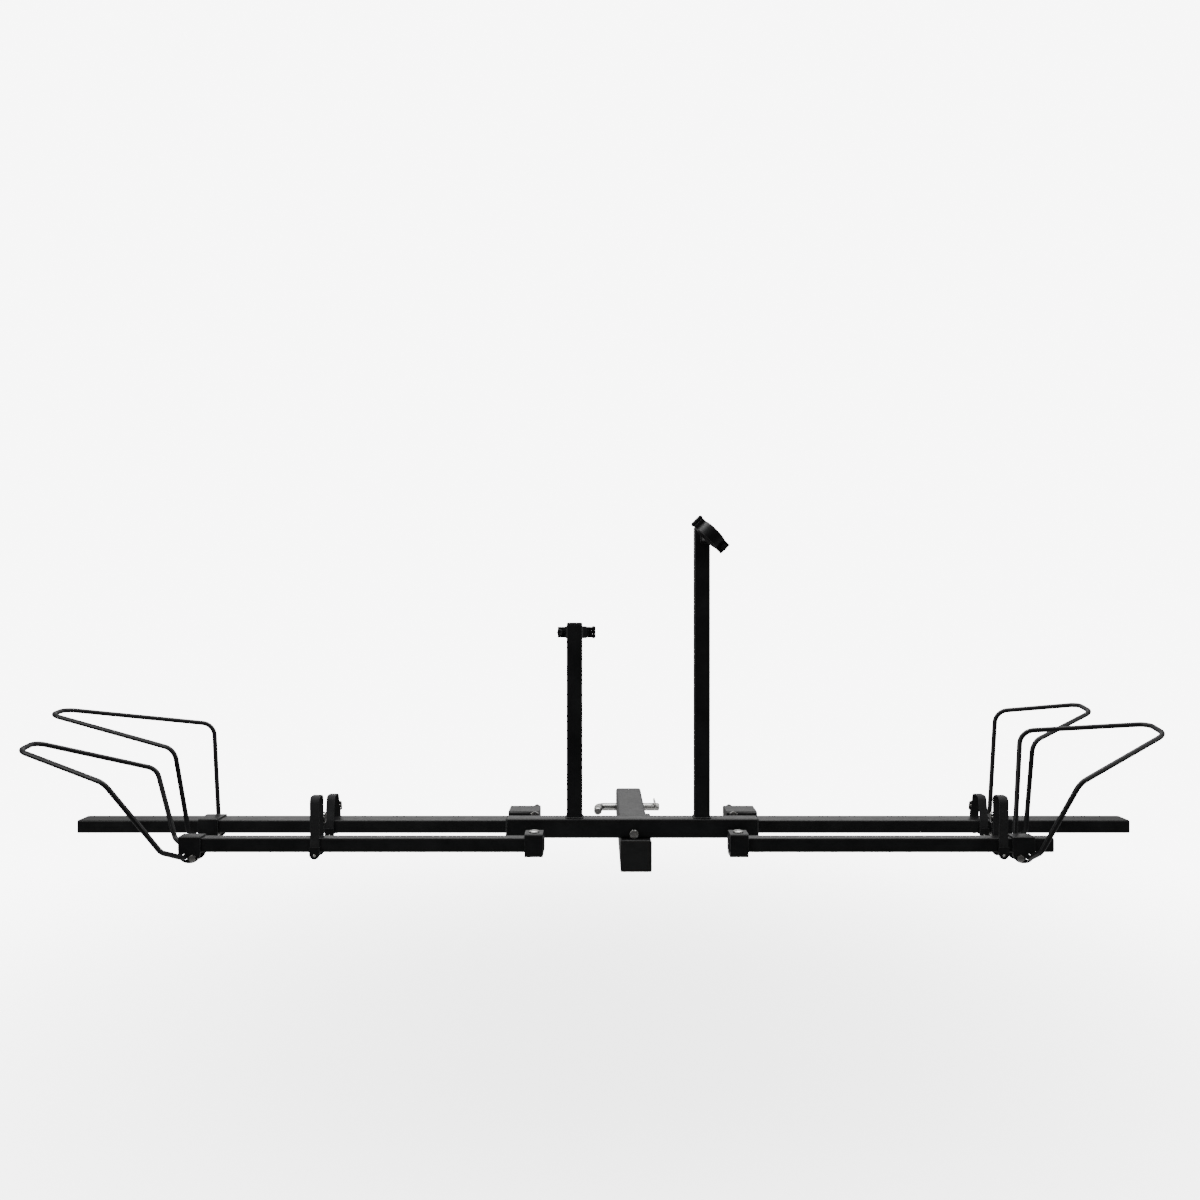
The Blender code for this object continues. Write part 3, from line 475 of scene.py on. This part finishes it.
def rectangle_path(middle, half_sizes, corner, normal):
    """A closed rounded rectangle square to the X, Y or Z axis."""
    axes = [index for index in range(3) if index != "XYZ".index(normal)]
    corners = []
    for first, second in ((1, 1), (-1, 1), (-1, -1), (1, -1)):
        point = list(middle)
        point[axes[0]] += first * half_sizes[0]
        point[axes[1]] += second * half_sizes[1]
        corners.append(point)
    return rounded_path(corners, [corner] * 4, 5, closed=True)


def end_plug(name, mouth, inward, middle, half_sizes, wall, body):
    """A black plug pressed into a tube's open end along X: a crowned flange and a ribbed insert."""
    def outline(shrink, corner):
        path = rectangle_path((0.0, *middle), [half - shrink for half in half_sizes], corner, "X")
        return [point.yz for point in path]

    # Each ring's inset from the tube's outside, its corner radius and its depth in the tube
    fit = wall + PLUG_GAP
    stations = [(3.4, 1.6, -2.4), (1.2, 2.2, -2.1), (0.3, 2.6, -1.3), (0.3, 2.6, -PLUG_GAP),
                (fit, 1.0, -PLUG_GAP)]
    for rib in (0.0, 3.0, 6.0):
        stations += [(fit, 1.0, rib + 2.0), (fit + 0.7, 1.0, rib + 2.6), (fit + 0.7, 1.0, rib + 3.6)]
    rings = [[(mouth + inward * depth, *point) for point in outline(shrink, corner)]
             for shrink, corner, depth in stations]
    return piece(name, *loft(rings), "black_plastic", body)


# ---------------------------------------------------------------- fasteners

def hex_ring(flats, along, chamfer):
    """A hexagon of 48 points, its corners cut back by a chamfer towards +Y (1) or -Y (-1)."""
    ring = []
    for step in range(48):
        turn = math.tau * step / 48
        off_flat = (turn + math.pi / 6) % (math.pi / 3) - math.pi / 6
        radius = flats / 2 / math.cos(off_flat)
        corner_cut = (radius - flats / 2) * math.tan(math.radians(HEX_CHAMFER_ANGLE)) + 0.1
        ring.append((radius * math.cos(turn), along + chamfer * corner_cut, radius * math.sin(turn)))
    return ring


def disc_ring(radius, along, sides=48):
    """A circle round the Y axis."""
    return [(radius * math.cos(math.tau * step / sides), along, radius * math.sin(math.tau * step / sides))
            for step in range(sides)]


def hex_solid(flats, start, end):
    """A hexagonal head or nut along Y, chamfered at both faces."""
    crown = flats / 2 - 0.35
    return loft([disc_ring(crown, start), hex_ring(flats, start, 1.0), hex_ring(flats, end, -1.0),
                 disc_ring(crown, end)])


def washer_solid(radius, start, end):
    """A disc along Y with both rims eased."""
    edge = 0.2
    return loft([disc_ring(radius - edge, start), disc_ring(radius, start + edge),
                 disc_ring(radius, end - edge), disc_ring(radius - edge, end)])


def thread_solid(radius, start, end):
    """A threaded length as fine ridges, one for each turn."""
    turns = max(1, int((end - start) / THREAD_PITCH))
    root_radius = radius * THREAD_ROOT_SHARE
    rings = [disc_ring(root_radius, start, 24)]
    for turn in range(turns):
        root = start + turn * THREAD_PITCH
        rings.append(disc_ring(radius, root + THREAD_PITCH * 0.5, 24))
        rings.append(disc_ring(root_radius, root + THREAD_PITCH, 24))
    return loft(rings)


def hex_fastener(name, node, flats, thread_radius, washer_radius, slot, head_first=1.0, nut=True):
    """A hex bolt along Y in a CAD bolt's place, with washers, and with a nut if the bolt has one."""
    low, high = cad_box(node)
    depth = flats * HEAD_DEPTH_SHARE
    length = high.y - low.y
    washer = WASHER if washer_radius else 0.0
    solids = [hex_solid(flats, 0.0, depth - washer)]
    if washer:
        solids.append(washer_solid(washer_radius, depth - washer, depth))
    if nut:
        nut_start = length - THREAD_TAIL - depth
        solids.append(loft([disc_ring(thread_radius, depth, 24), disc_ring(thread_radius, nut_start, 24)]))
        solids.append(hex_solid(flats, nut_start + washer, nut_start + depth))
        solids.append(thread_solid(thread_radius, nut_start + depth, length))
        if washer:
            solids.append(washer_solid(washer_radius, nut_start, nut_start + washer))
    else:
        solids.append(thread_solid(thread_radius, depth, length))
    points, faces = together(*solids)
    middle = (low + high) / 2
    face = low.y if head_first > 0 else high.y
    placed = [(middle.x + x, face + head_first * y, middle.z + z) for x, y, z in points]
    return piece(name, placed, faces, slot, BODY_OF[node], [node])


def dome_bolt(name, node):
    """A low domed bolt pointing down, with a flange under its dome."""
    low, high = cad_box(node)
    middle = (low + high) / 2
    flange_radius = (high.x - low.x) / 2 - 1.6
    flange_height, dome_height = 1.3, 1.7
    base = high.z - 4.3
    shoulder = base + flange_height
    profile = [(HEX_THREAD_RADIUS, low.z), (HEX_THREAD_RADIUS, base), (flange_radius, base),
               (flange_radius, base + 0.9), (flange_radius - 0.5, shoulder)]
    for step in range(1, 8):
        turn = step / 7 * math.pi / 2
        profile.append(((flange_radius - 1.2) * math.cos(turn) + 0.05,
                        shoulder + dome_height * math.sin(turn)))
    rings = [[(middle.x + x, middle.y + y, z) for x, _, y in disc_ring(radius, 0.0)] for radius, z in profile]
    return piece(name, *loft(rings), "zinc", BODY_OF[node], [node])


# ---------------------------------------------------------------- wheel hoops and straps

def build_hoop(side, sign, row):
    """A hoop's rod: foot, knee, bend and tip on each side of the tyre, in one closed loop."""
    node = f"{row}_wheel_hoop_{side}"
    low, high = cad_box(node)
    arm_low, arm_high = cad_box(f"{row}_arm_{side}")
    arm = (arm_low + arm_high) / 2
    bracket_low, bracket_high = cad_box(f"{row}_hoop_bracket_{side}")
    foot = abs(bracket_low.x + bracket_high.x) / 2 + HOOP_FOOT_OUTBOARD
    tip = max(abs(low.x), abs(high.x)) - ROD_RADIUS
    half_depth = (arm_high.y - arm_low.y) / 2
    foot_z = arm.z - HOOP_FOOT_DROP
    halves = []
    for knee, (bend, bend_z), tip_z in zip(*HOOP_SHAPE[side, row]):
        halves.append([(foot, half_depth + HOOP_FOOT_ASIDE, foot_z),
                       (knee, half_depth + HOOP_KNEE_ASIDE, foot_z + HOOP_KNEE_RISE),
                       (bend, HOOP_HALF_WIDTH, bend_z), (tip, HOOP_TIP_HALF_WIDTH, tip_z)])
    corners = [(x, -y, z) for x, y, z in halves[0]] + halves[1][::-1]
    corners = [(sign * x, arm.y + y, z) for x, y, z in corners]
    path = rounded_path(corners, HOOP_CORNER_RADII + HOOP_CORNER_RADII[::-1], 12, closed=True)
    rod(f"hoop_rod_{row}_{side}", path, ROD_RADIUS, True, "black_steel", BODY_OF[node], [node])


def webbing(name, path, middle_x, body, closed, stands_for=()):
    """Webbing along a path in the Y-Z plane, with raised threads in a basket weave."""
    points, step = resampled(path, WEAVE_PITCH, closed)
    columns = 14
    rings = []
    for index, (point, along) in enumerate(zip(points, directions(points, closed))):
        outward = Vector((0.0, along.z, -along.y))
        ring = []
        for face in (1.0, -1.0):
            order = range(columns + 1) if face > 0 else range(columns, -1, -1)
            for column in order:
                across = (column / columns - 0.5) * WEBBING_WIDTH
                thinned = 0.55 if column in (0, columns) else 1.0
                raised = WEAVE_RELIEF if (index + column) % 2 else 0.0
                offset = outward * face * (WEBBING_THICKNESS / 2 * thinned - WEAVE_RELIEF + raised)
                ring.append(point + offset + Vector((across + middle_x, 0.0, 0.0)))
        rings.append(ring)
    points, faces = loft(rings, closed)

    # Each face corner's length along the webbing and distance across it
    count = 2 * (columns + 1)
    widths = [(column if column <= columns else count - 1 - column) / columns * WEBBING_WIDTH
              for column in range(count)]
    lines = []
    side_faces = (len(rings) if closed else len(rings) - 1) * count
    for face in faces[:side_faces]:
        span = face[0] // count
        lines += [((span if corner // count == span else span + 1) * step, widths[corner % count])
                  for corner in face]
    for face in faces[side_faces:]:
        lines += [(0.0, widths[corner % count]) for corner in face]
    return piece(name, points, faces, "black_webbing", body, stands_for, lines)


def build_strap(side, row):
    """The strap's loop over the rim, its buckle on the side towards the vehicle, and its loose tail."""
    node = f"{row}_wheel_strap_{side}"
    body = BODY_OF[node]
    low, high = cad_box(node)
    arm_low, arm_high = cad_box(f"{row}_arm_{side}")
    arm_y = (arm_low.y + arm_high.y) / 2
    rise = high.z - arm_high.z
    middle_x = (low.x + high.x) / 2
    middle = CAD_WEBBING_THICKNESS / 2
    half_bottom = (high.y - low.y) / 2 - middle
    if row == "near":
        half_bottom = (arm_high.y - arm_low.y) / 2 + 0.5 + middle
    half_top = STRAP_TOP_HALF + middle
    bottom, top = low.z + middle, high.z - middle
    corners = [(-half_bottom, bottom), (half_bottom, bottom), (half_bottom, arm_high.z), (half_top, top),
               (-half_top, top), (-half_bottom, arm_high.z)]
    path = rounded_path([(0.0, arm_y + y, z) for y, z in corners], STRAP_CORNER_RADII, 8, closed=True)
    webbing(f"strap_webbing_{row}_{side}", path, middle_x, body, True, [node])

    leg_start = Vector((0.0, arm_y + half_bottom, arm_high.z))
    leg = (Vector((0.0, arm_y + half_top, top)) - leg_start).normalized()
    out = Vector((0.0, leg.z, -leg.y))
    seat = leg_start + leg * rise * BUCKLE_HEIGHT_SHARE + out * 2.6

    def on_leg(across, up, off):
        """A point by its distance across the webbing, up the leg from the buckle's middle and off it."""
        return seat + leg * up + out * off + Vector((across + middle_x, 0.0, 0.0))

    wide, tall = BUCKLE_HALF_WIDTH, BUCKLE_HALF_HEIGHT
    ring = [on_leg(x, up, 0.4) for x, up in ((-wide, -tall), (wide, -tall), (wide, tall), (-wide, tall))]
    rod(f"buckle_frame_{row}_{side}", rounded_path(ring, [2.5] * 4, 5, True), BUCKLE_WIRE_RADIUS, True,
        "zinc", body)
    bar = [on_leg(-wide, 0.0, 0.8), on_leg(wide, 0.0, 0.8)]
    rod(f"buckle_bar_{row}_{side}", bar, BUCKLE_WIRE_RADIUS, False, "zinc", body)

    # The lever's profile, up the leg and off it. Its head is thicker, and its tip narrower.
    lever = [(3.4, 5.4), (0.6, 5.8), (-3.0, 5.2), (-7.0, 4.3), (-11.0, 4.8), (-12.2, 6.0)]
    rings = []
    for up, off in lever:
        half = 6.6 if up > -8.0 else 5.6
        rings.append([on_leg(x, up, off + lift) for x, lift in
                      ((-half, 0.0), (half, 0.0), (half, 1.3), (half - 0.8, 2.0),
                       (-half + 0.8, 2.0), (-half, 1.3))])
    rings.insert(0, [on_leg(x, 4.6, lift) for x, lift in
                     ((-6.6, 3.0), (6.6, 3.0), (6.6, 4.6), (5.8, 5.2), (-5.8, 5.2), (-6.6, 4.6))])
    piece(f"buckle_lever_{row}_{side}", *loft(rings), "black_plastic", body)

    tail = [seat + out * 2.4 - leg * 1.0, seat + out * 3.2 - leg * 9.0,
            seat + out * 3.0 - leg * min(rise * BUCKLE_HEIGHT_SHARE + 14.0, 32.0)]
    webbing(f"strap_tail_{row}_{side}", rounded_path(tail, [0.0, 12.0, 0.0], 6, False), middle_x, body, False)
    build_anchor(side, row, body, middle_x, arm_y, half_bottom + middle, arm_low.z)


def build_anchor(side, row, body, middle_x, arm_y, webbing_half, underside):
    """Two round-ended ears outside the webbing, riveted together just below the arm."""
    lobe_z = underside - ANCHOR_DROP + ANCHOR_HALF_WIDTH
    outline = [(ANCHOR_HALF_WIDTH, underside + 9.0), (-ANCHOR_HALF_WIDTH, underside + 9.0)]
    for step in range(13):
        turn = math.pi + step / 12 * math.pi
        outline.append((ANCHOR_HALF_WIDTH * math.cos(turn), lobe_z + ANCHOR_HALF_WIDTH * math.sin(turn)))
    rivet_z = underside - RIVET_DROP
    inner = webbing_half + 0.1
    for face, sign in (("front", -1.0), ("back", 1.0)):
        rings = [[(middle_x + x * share, arm_y + sign * off, z) for x, z in outline]
                 for share, off in ((1.0, inner), (1.0, inner + ANCHOR_PLATE - 0.4),
                                    (0.95, inner + ANCHOR_PLATE))]
        piece(f"strap_ear_{face}_{row}_{side}", *loft(rings), "black_steel", body)
    half = inner + ANCHOR_PLATE
    stations = [(0.8, -half - 0.8), (1.6, -half - 0.6), (2.1, -half), (RIVET_RADIUS, -half),
                (RIVET_RADIUS, half), (2.1, half), (1.6, half + 0.6), (0.8, half + 0.8)]
    rings = [[(middle_x + x, arm_y + y, rivet_z + z) for x, y, z in disc_ring(radius, along, 24)]
             for radius, along in stations]
    piece(f"strap_rivet_{row}_{side}", *loft(rings), "zinc", body)


# ---------------------------------------------------------------- clamps

class ClampAxes:
    """A clamp's own axes, read from its joints: along the gripped tube, across it and back."""

    def __init__(self, side):
        swivel, hinge = JOINTS[f"{side}_clamp_swivel"], JOINTS[f"{side}_clamp_open"]
        knob = JOINTS[f"{side}_clamp_knob_turn"]
        self.centre = Vector(swivel["pos_m"]) / MM
        self.hinge = Vector(hinge["pos_m"]) / MM
        self.along = -Vector(hinge["axis"])
        self.across = (self.centre - self.hinge).normalized()
        self.back = self.along.cross(self.across)
        self.bolt_across = (Vector(knob["pos_m"]) / MM - self.centre).dot(self.across)

    def at(self, along, across, back):
        return self.centre + self.along * along + self.across * across + self.back * back


def jaw_lining(name, axes, facing, body, stands_for=()):
    """A ribbed rubber half ring inside a jaw, with a lip at each side of the band."""
    steps, ribs = 60, 12
    span = JAW_WIDTH / 2 + 1.0
    rows = []
    for step in range(steps + 1):
        turn = 0.075 + step / steps * (math.pi - 0.15)
        groove = 0.55 if math.cos(step / steps * math.tau * ribs) < -0.2 else 0.0
        inner = PAD_INNER_RADIUS + groove
        section = [(-span, PAD_OUTER_RADIUS), (-span, inner + 0.5), (-span + 0.6, inner), (span - 0.6, inner),
                   (span, inner + 0.5), (span, PAD_OUTER_RADIUS)]
        rows.append([axes.at(along, radius * math.cos(turn), facing * radius * math.sin(turn))
                     for along, radius in section])
    return piece(name, *loft(rows), "black_rubber", body, stands_for)


def hinge_knuckle(name, axes, start, end, body):
    """A rolled knuckle round the hinge pin."""
    inner, outer, bevel, sides = HINGE_PIN_RADIUS + 0.1, HINGE_PIN_RADIUS + 1.0, 0.3, 28
    offset = (axes.hinge - axes.centre).dot(axes.across)
    rings = []
    for radius, along in ((inner, start), (outer - bevel, start), (outer, start + bevel),
                          (outer, end - bevel), (outer - bevel, end), (inner, end)):
        rings.append([axes.at(along, offset + radius * math.cos(math.tau * step / sides),
                              radius * math.sin(math.tau * step / sides)) for step in range(sides)])
    return piece(name, *loft(rings, closed=True), "black_steel", body)


def thumb_nut(name, node, towards_back):
    """A lobed thumb nut along Y with a dished end."""
    low, high = cad_box(node)
    middle = (low + high) / 2
    base = low.y if towards_back > 0 else high.y
    height = high.y - low.y
    radius, lobes, sides = (high.x - low.x) / 2, 8, 96
    profile = [(0.62, 0.0, 0.0), (0.86, 0.0, 0.0), (0.90, 0.06, 0.3), (0.97, 0.14, 1.0), (1.0, 0.25, 1.0),
               (1.0, 0.80, 1.0), (0.96, 0.92, 0.8), (0.86, 0.98, 0.3), (0.70, 1.0, 0.0), (0.52, 0.97, 0.0),
               (0.46, 0.90, 0.0), (0.04, 0.88, 0.0)]
    rings = []
    for share, up, fluting in profile:
        ring = []
        for step in range(sides):
            turn = math.tau * step / sides
            flute = 1.0 - 0.13 * fluting * (0.5 - 0.5 * math.cos(lobes * turn)) ** 1.5
            reach = radius * share * flute
            ring.append((middle.x + reach * math.cos(turn), base + towards_back * height * up,
                         middle.z + reach * math.sin(turn)))
        rings.append(ring)
    return piece(name, *loft(rings), "black_plastic", BODY_OF[node], [node])


def build_clamp(side):
    """A clamp's linings, its hinge of three knuckles, its thumb nut and its screw."""
    axes = ClampAxes(side)
    rear, front = f"{side}_clamp", f"{side}_clamp_front"
    jaw_lining(f"rear_jaw_lining_{side}", axes, 1.0, rear, [f"clamp_pad_{side}"])
    jaw_lining(f"front_jaw_lining_{side}", axes, -1.0, front)
    third, play = JAW_WIDTH / 3, 0.2
    for number, start in enumerate((-1.5 * third, 0.5 * third)):
        hinge_knuckle(f"rear_knuckle_{number}_{side}", axes, start + play, start + third - play, rear)
    hinge_knuckle(f"front_knuckle_{side}", axes, -third / 2 + play, third / 2 - play, front)
    towards_back = math.copysign(1.0, axes.back.y)
    thumb_nut(f"thumb_nut_{side}", f"clamp_knob_{side}", towards_back)
    hex_fastener(f"clamp_screw_{side}", f"clamp_bolt_{side}", CLAMP_SCREW_FLATS, CLAMP_SCREW_RADIUS,
                 0.0, "black_steel", towards_back, nut=False)


# ---------------------------------------------------------------- hitch pin

def build_hitch_pin():
    """The bent pin, and its hairpin clip: one leg through the pin and one bowed over it."""
    low, high = cad_box("hitch_pin")
    radius = (high.z - low.z) / 2
    axis_z = (low.z + high.z) / 2
    bend_x = low.x + radius
    corners = [(high.x, 0.0, axis_z), (bend_x, 0.0, axis_z), (bend_x, low.y, axis_z)]
    path = rounded_path(corners, [0.0, 14.0, 0.0], 12, closed=False)
    rod("pin_rod", path, radius, False, "zinc", "hitch_pin", ["hitch_pin"])

    low, high = cad_box("hitch_pin_clip")
    clip_radius = (high.x - low.x) / 2
    clip_x = (low.x + high.x) / 2
    over = axis_z + radius + clip_radius + 0.5
    corners = [(clip_x, y, z) for y, z in
               ((15.0, axis_z), (-30.0, axis_z), (-30.0, over + 4.0), (-12.0, over + 4.0),
                (-6.0, over), (6.0, over), (13.0, over + 4.0))]
    path = rounded_path(corners, [0.0, 6.5, 6.5, 4.0, 4.0, 4.0, 0.0], 8, closed=False)
    rod("pin_clip", path, clip_radius, False, "zinc", "hitch_pin_clip", ["hitch_pin_clip"])


# ---------------------------------------------------------------- welds, plugs and bolts

def build_welds():
    """Beads round the uprights' feet and clamp arms, and along the side bars and the saddle."""
    beam_low, beam_high = cad_box("crossbeam")
    saddle_low, saddle_high = cad_box("beam_saddle")
    for side, _ in SIDES:
        low, high = cad_box(f"upright_{side}")
        middle = (low + high) / 2
        half = (high.x - low.x) / 2 + 0.2
        foot = rectangle_path((middle.x, middle.y, low.z), (half, half), 2.6, "Z")
        weld_bead(f"upright_weld_{side}", foot, "frame", closed=True)

        arm_low, arm_high = cad_box(f"clamp_arm_{side}")
        face_y = high.y if arm_low.y > middle.y else low.y
        arm = (arm_low + arm_high) / 2
        half = (arm_high.z - arm_low.z) / 2 + 0.2
        joint = rectangle_path((arm.x, face_y, arm.z), (min(half, 9.2), half), 2.0, "Y")
        weld_bead(f"clamp_arm_weld_{side}", joint, "frame", closed=True, radius=1.6)

        bar_low, bar_high = cad_box(f"side_bar_{side}")
        ends = (bar_low.x + 1.5, bar_high.x - 1.5)
        seams = ((beam_low.y + 0.8, bar_high.z), (beam_high.y - 0.8, bar_high.z), (bar_low.y, bar_high.z),
                 (bar_low.y, bar_low.z), (bar_high.y, bar_high.z), (bar_high.y, bar_low.z))
        for number, (y, z) in enumerate(seams):
            seam = [(ends[0], y, z), (ends[1], y, z)]
            weld_bead(f"side_bar_weld_{number}_{side}", seam, "frame", radius=1.8)

    for number, x in enumerate((saddle_low.x + 0.9, saddle_high.x - 0.9)):
        seam = [(x, saddle_low.y + 1.0, saddle_low.z), (x, saddle_high.y - 1.0, saddle_low.z)]
        weld_bead(f"saddle_weld_{number}", seam, "frame", radius=1.8)
    seam = [(x, saddle_low.y, saddle_high.z) for x in (saddle_low.x + 2.0, saddle_high.x - 2.0)]
    weld_bead("saddle_weld_top", seam, "frame", radius=1.2)


def build_plugs():
    """Plugs in the crossbeam's ends and in the arms' inner ends."""
    beam_wall, arm_wall = 2.5, 2.0
    low, high = cad_box("crossbeam")
    middle = ((low.y + high.y) / 2, (low.z + high.z) / 2)
    half = (high.y - low.y) / 2
    end_plug("beam_plug_left", low.x, 1.0, middle, (half, half), beam_wall, "frame")
    end_plug("beam_plug_right", high.x, -1.0, middle, (half, half), beam_wall, "frame")
    for side, sign in SIDES:
        for row in ROWS:
            low, high = cad_box(f"{row}_arm_{side}")
            mouth = high.x if side == "left" else low.x
            middle = ((low.y + high.y) / 2, (low.z + high.z) / 2)
            halves = ((high.y - low.y) / 2, (high.z - low.z) / 2)
            end_plug(f"inner_plug_{row}_{side}", mouth, sign, middle, halves, arm_wall, f"{row}_{side}_arm")


def build_bolts():
    hex_fastener("crossbeam_bolt", "beam_bolt", HEX_FLATS, HEX_THREAD_RADIUS, 7.0, "zinc")
    for side, _ in SIDES:
        dome_bolt(f"near_pinch_bolt_{side}", f"near_sleeve_bolt_{side}")
        hex_fastener(f"far_pinch_bolt_{side}", f"far_sleeve_bolt_{side}", HEX_FLATS, 3.9, 0.0, "zinc")
        for row in ROWS:
            hex_fastener(f"hoop_fastener_{row}_{side}", f"{row}_hoop_bolt_{side}", HOOP_BOLT_FLATS,
                         HOOP_BOLT_RADIUS, 0.0, "zinc")


def finish_cad_nodes():
    """The CAD solids that stay in view get their finish and softened edges."""
    for name, node in frame["nodes"].items():
        node.data.materials.clear()
        node.data.materials.append(MATERIALS[SLOT_OF[name]])
        if node.hide_render:
            continue
        weld = node.modifiers.new("Join", "WELD")
        weld.merge_threshold = 0.00002
        flatten = node.modifiers.new("Flatten", "DECIMATE")
        flatten.decimate_type = "DISSOLVE"
        flatten.angle_limit = math.radians(0.6)
        soften = node.modifiers.new("Soften", "BEVEL")
        soften.width = EDGE_SOFTENING * MM
        soften.segments = 2
        soften.limit_method = "ANGLE"
        soften.angle_limit = math.radians(SOFTENED_ANGLE)
        smooth = node.modifiers.new("Smooth", "WEIGHTED_NORMAL")
        smooth.mode = "FACE_AREA_WITH_ANGLE"
        smooth.weight = 60


# ---------------------------------------------------------------- room, lights and camera

def build_floor():
    """A pale floor that fades away into the backdrop round the rack."""
    rings = [[(x, y, FLOOR_Z) for x, _, y in disc_ring(radius, 0.0, 96)] for radius in (1.0, FLOOR_RADIUS)]
    points, faces = loft(rings)
    mesh = bpy.data.meshes.new("studio_floor")
    mesh.from_pydata([Vector(point) * MM for point in points], [], faces[:-1])
    floor = bpy.data.objects.new("studio_floor", mesh)
    material = bpy.data.materials.new("studio_floor")
    material.use_nodes = True
    nodes, links = material.node_tree.nodes, material.node_tree.links
    paper = nodes["Principled BSDF"]
    paper.inputs["Base Color"].default_value = (0.82, 0.82, 0.82, 1.0)
    paper.inputs["Roughness"].default_value = 0.9
    paper.inputs["Specular IOR Level"].default_value = 0.1
    clear = nodes.new("ShaderNodeBsdfTransparent")
    place = nodes.new("ShaderNodeTexCoord")
    distance = nodes.new("ShaderNodeVectorMath")
    distance.operation = "LENGTH"
    fade = nodes.new("ShaderNodeMapRange")
    fade.interpolation_type = "SMOOTHSTEP"
    fade.inputs["From Min"].default_value, fade.inputs["From Max"].default_value = FLOOR_FADE
    fade.inputs["To Min"].default_value = FLOOR_CLEAR
    mix = nodes.new("ShaderNodeMixShader")
    links.new(place.outputs["Object"], distance.inputs[0])
    links.new(distance.outputs["Value"], fade.inputs["Value"])
    links.new(fade.outputs["Result"], mix.inputs["Fac"])
    links.new(paper.outputs["BSDF"], mix.inputs[1])
    links.new(clear.outputs["BSDF"], mix.inputs[2])
    links.new(mix.outputs["Shader"], nodes["Material Output"].inputs["Surface"])
    mesh.materials.append(material)
    bpy.context.scene.collection.objects.link(floor)


def build_world():
    """A bright backdrop for the eye. The rack sees a room lit from behind it and from above."""
    world = bpy.data.worlds.new("studio")
    bpy.context.scene.world = world
    world.use_nodes = True
    nodes, links = world.node_tree.nodes, world.node_tree.links
    room = nodes["Background"]
    room.inputs["Color"].default_value = (1.0, 1.0, 1.0, 1.0)
    direction = nodes.new("ShaderNodeTexCoord")
    split = nodes.new("ShaderNodeSeparateXYZ")
    links.new(direction.outputs["Generated"], split.inputs[0])
    shares = []
    for axis, low, high, dim, bright in ROOM_RAMPS:
        ramp = nodes.new("ShaderNodeMapRange")
        for name, value in (("From Min", low), ("From Max", high), ("To Min", dim), ("To Max", bright)):
            ramp.inputs[name].default_value = value
        links.new(split.outputs[axis], ramp.inputs["Value"])
        shares.append(ramp.outputs["Result"])
    both = nodes.new("ShaderNodeMath")
    both.operation = "ADD"
    scaled = nodes.new("ShaderNodeMath")
    scaled.operation = "MULTIPLY"
    scaled.inputs[1].default_value = ROOM_LIGHT
    links.new(shares[0], both.inputs[0])
    links.new(shares[1], both.inputs[1])
    links.new(both.outputs[0], scaled.inputs[0])
    links.new(scaled.outputs[0], room.inputs["Strength"])
    backdrop = nodes.new("ShaderNodeBackground")
    backdrop.inputs["Color"].default_value = (1.0, 1.0, 1.0, 1.0)
    backdrop.inputs["Strength"].default_value = BACKDROP
    path = nodes.new("ShaderNodeLightPath")
    mix = nodes.new("ShaderNodeMixShader")
    links.new(path.outputs["Is Camera Ray"], mix.inputs["Fac"])
    links.new(room.outputs["Background"], mix.inputs[1])
    links.new(backdrop.outputs["Background"], mix.inputs[2])
    links.new(mix.outputs["Shader"], nodes["World Output"].inputs["Surface"])


def add_softbox(name, place, aim, size, watts):
    """A rectangular lamp at a place, turned to face its aim."""
    light = bpy.data.lights.new(name, "AREA")
    light.shape = "RECTANGLE"
    light.size, light.size_y = (length * MM for length in size)
    light.energy = watts
    lamp = bpy.data.objects.new(name, light)
    lamp.location = Vector(place) * MM
    lamp.rotation_euler = (Vector(aim) - Vector(place)).to_track_quat("-Z", "Y").to_euler()
    bpy.context.scene.collection.objects.link(lamp)


def add_camera():
    """A level camera looking along +Y."""
    camera = bpy.data.cameras.new("camera")
    camera.lens = LENS
    camera.sensor_width = SENSOR
    camera.clip_end = 100.0
    holder = bpy.data.objects.new("camera", camera)
    holder.location = Vector(CAMERA_PLACE) * MM
    holder.rotation_euler = (math.radians(90.0), 0.0, 0.0)
    bpy.context.scene.collection.objects.link(holder)
    bpy.context.scene.camera = holder


def build_studio():
    build_world()
    build_floor()
    for softbox in SOFTBOXES:
        add_softbox(*softbox)
    add_camera()


build_studio()
for side, sign in SIDES:
    build_clamp(side)
    for row in ROWS:
        build_hoop(side, sign, row)
        build_strap(side, row)
build_hitch_pin()
build_bolts()
build_welds()
build_plugs()
finish_cad_nodes()
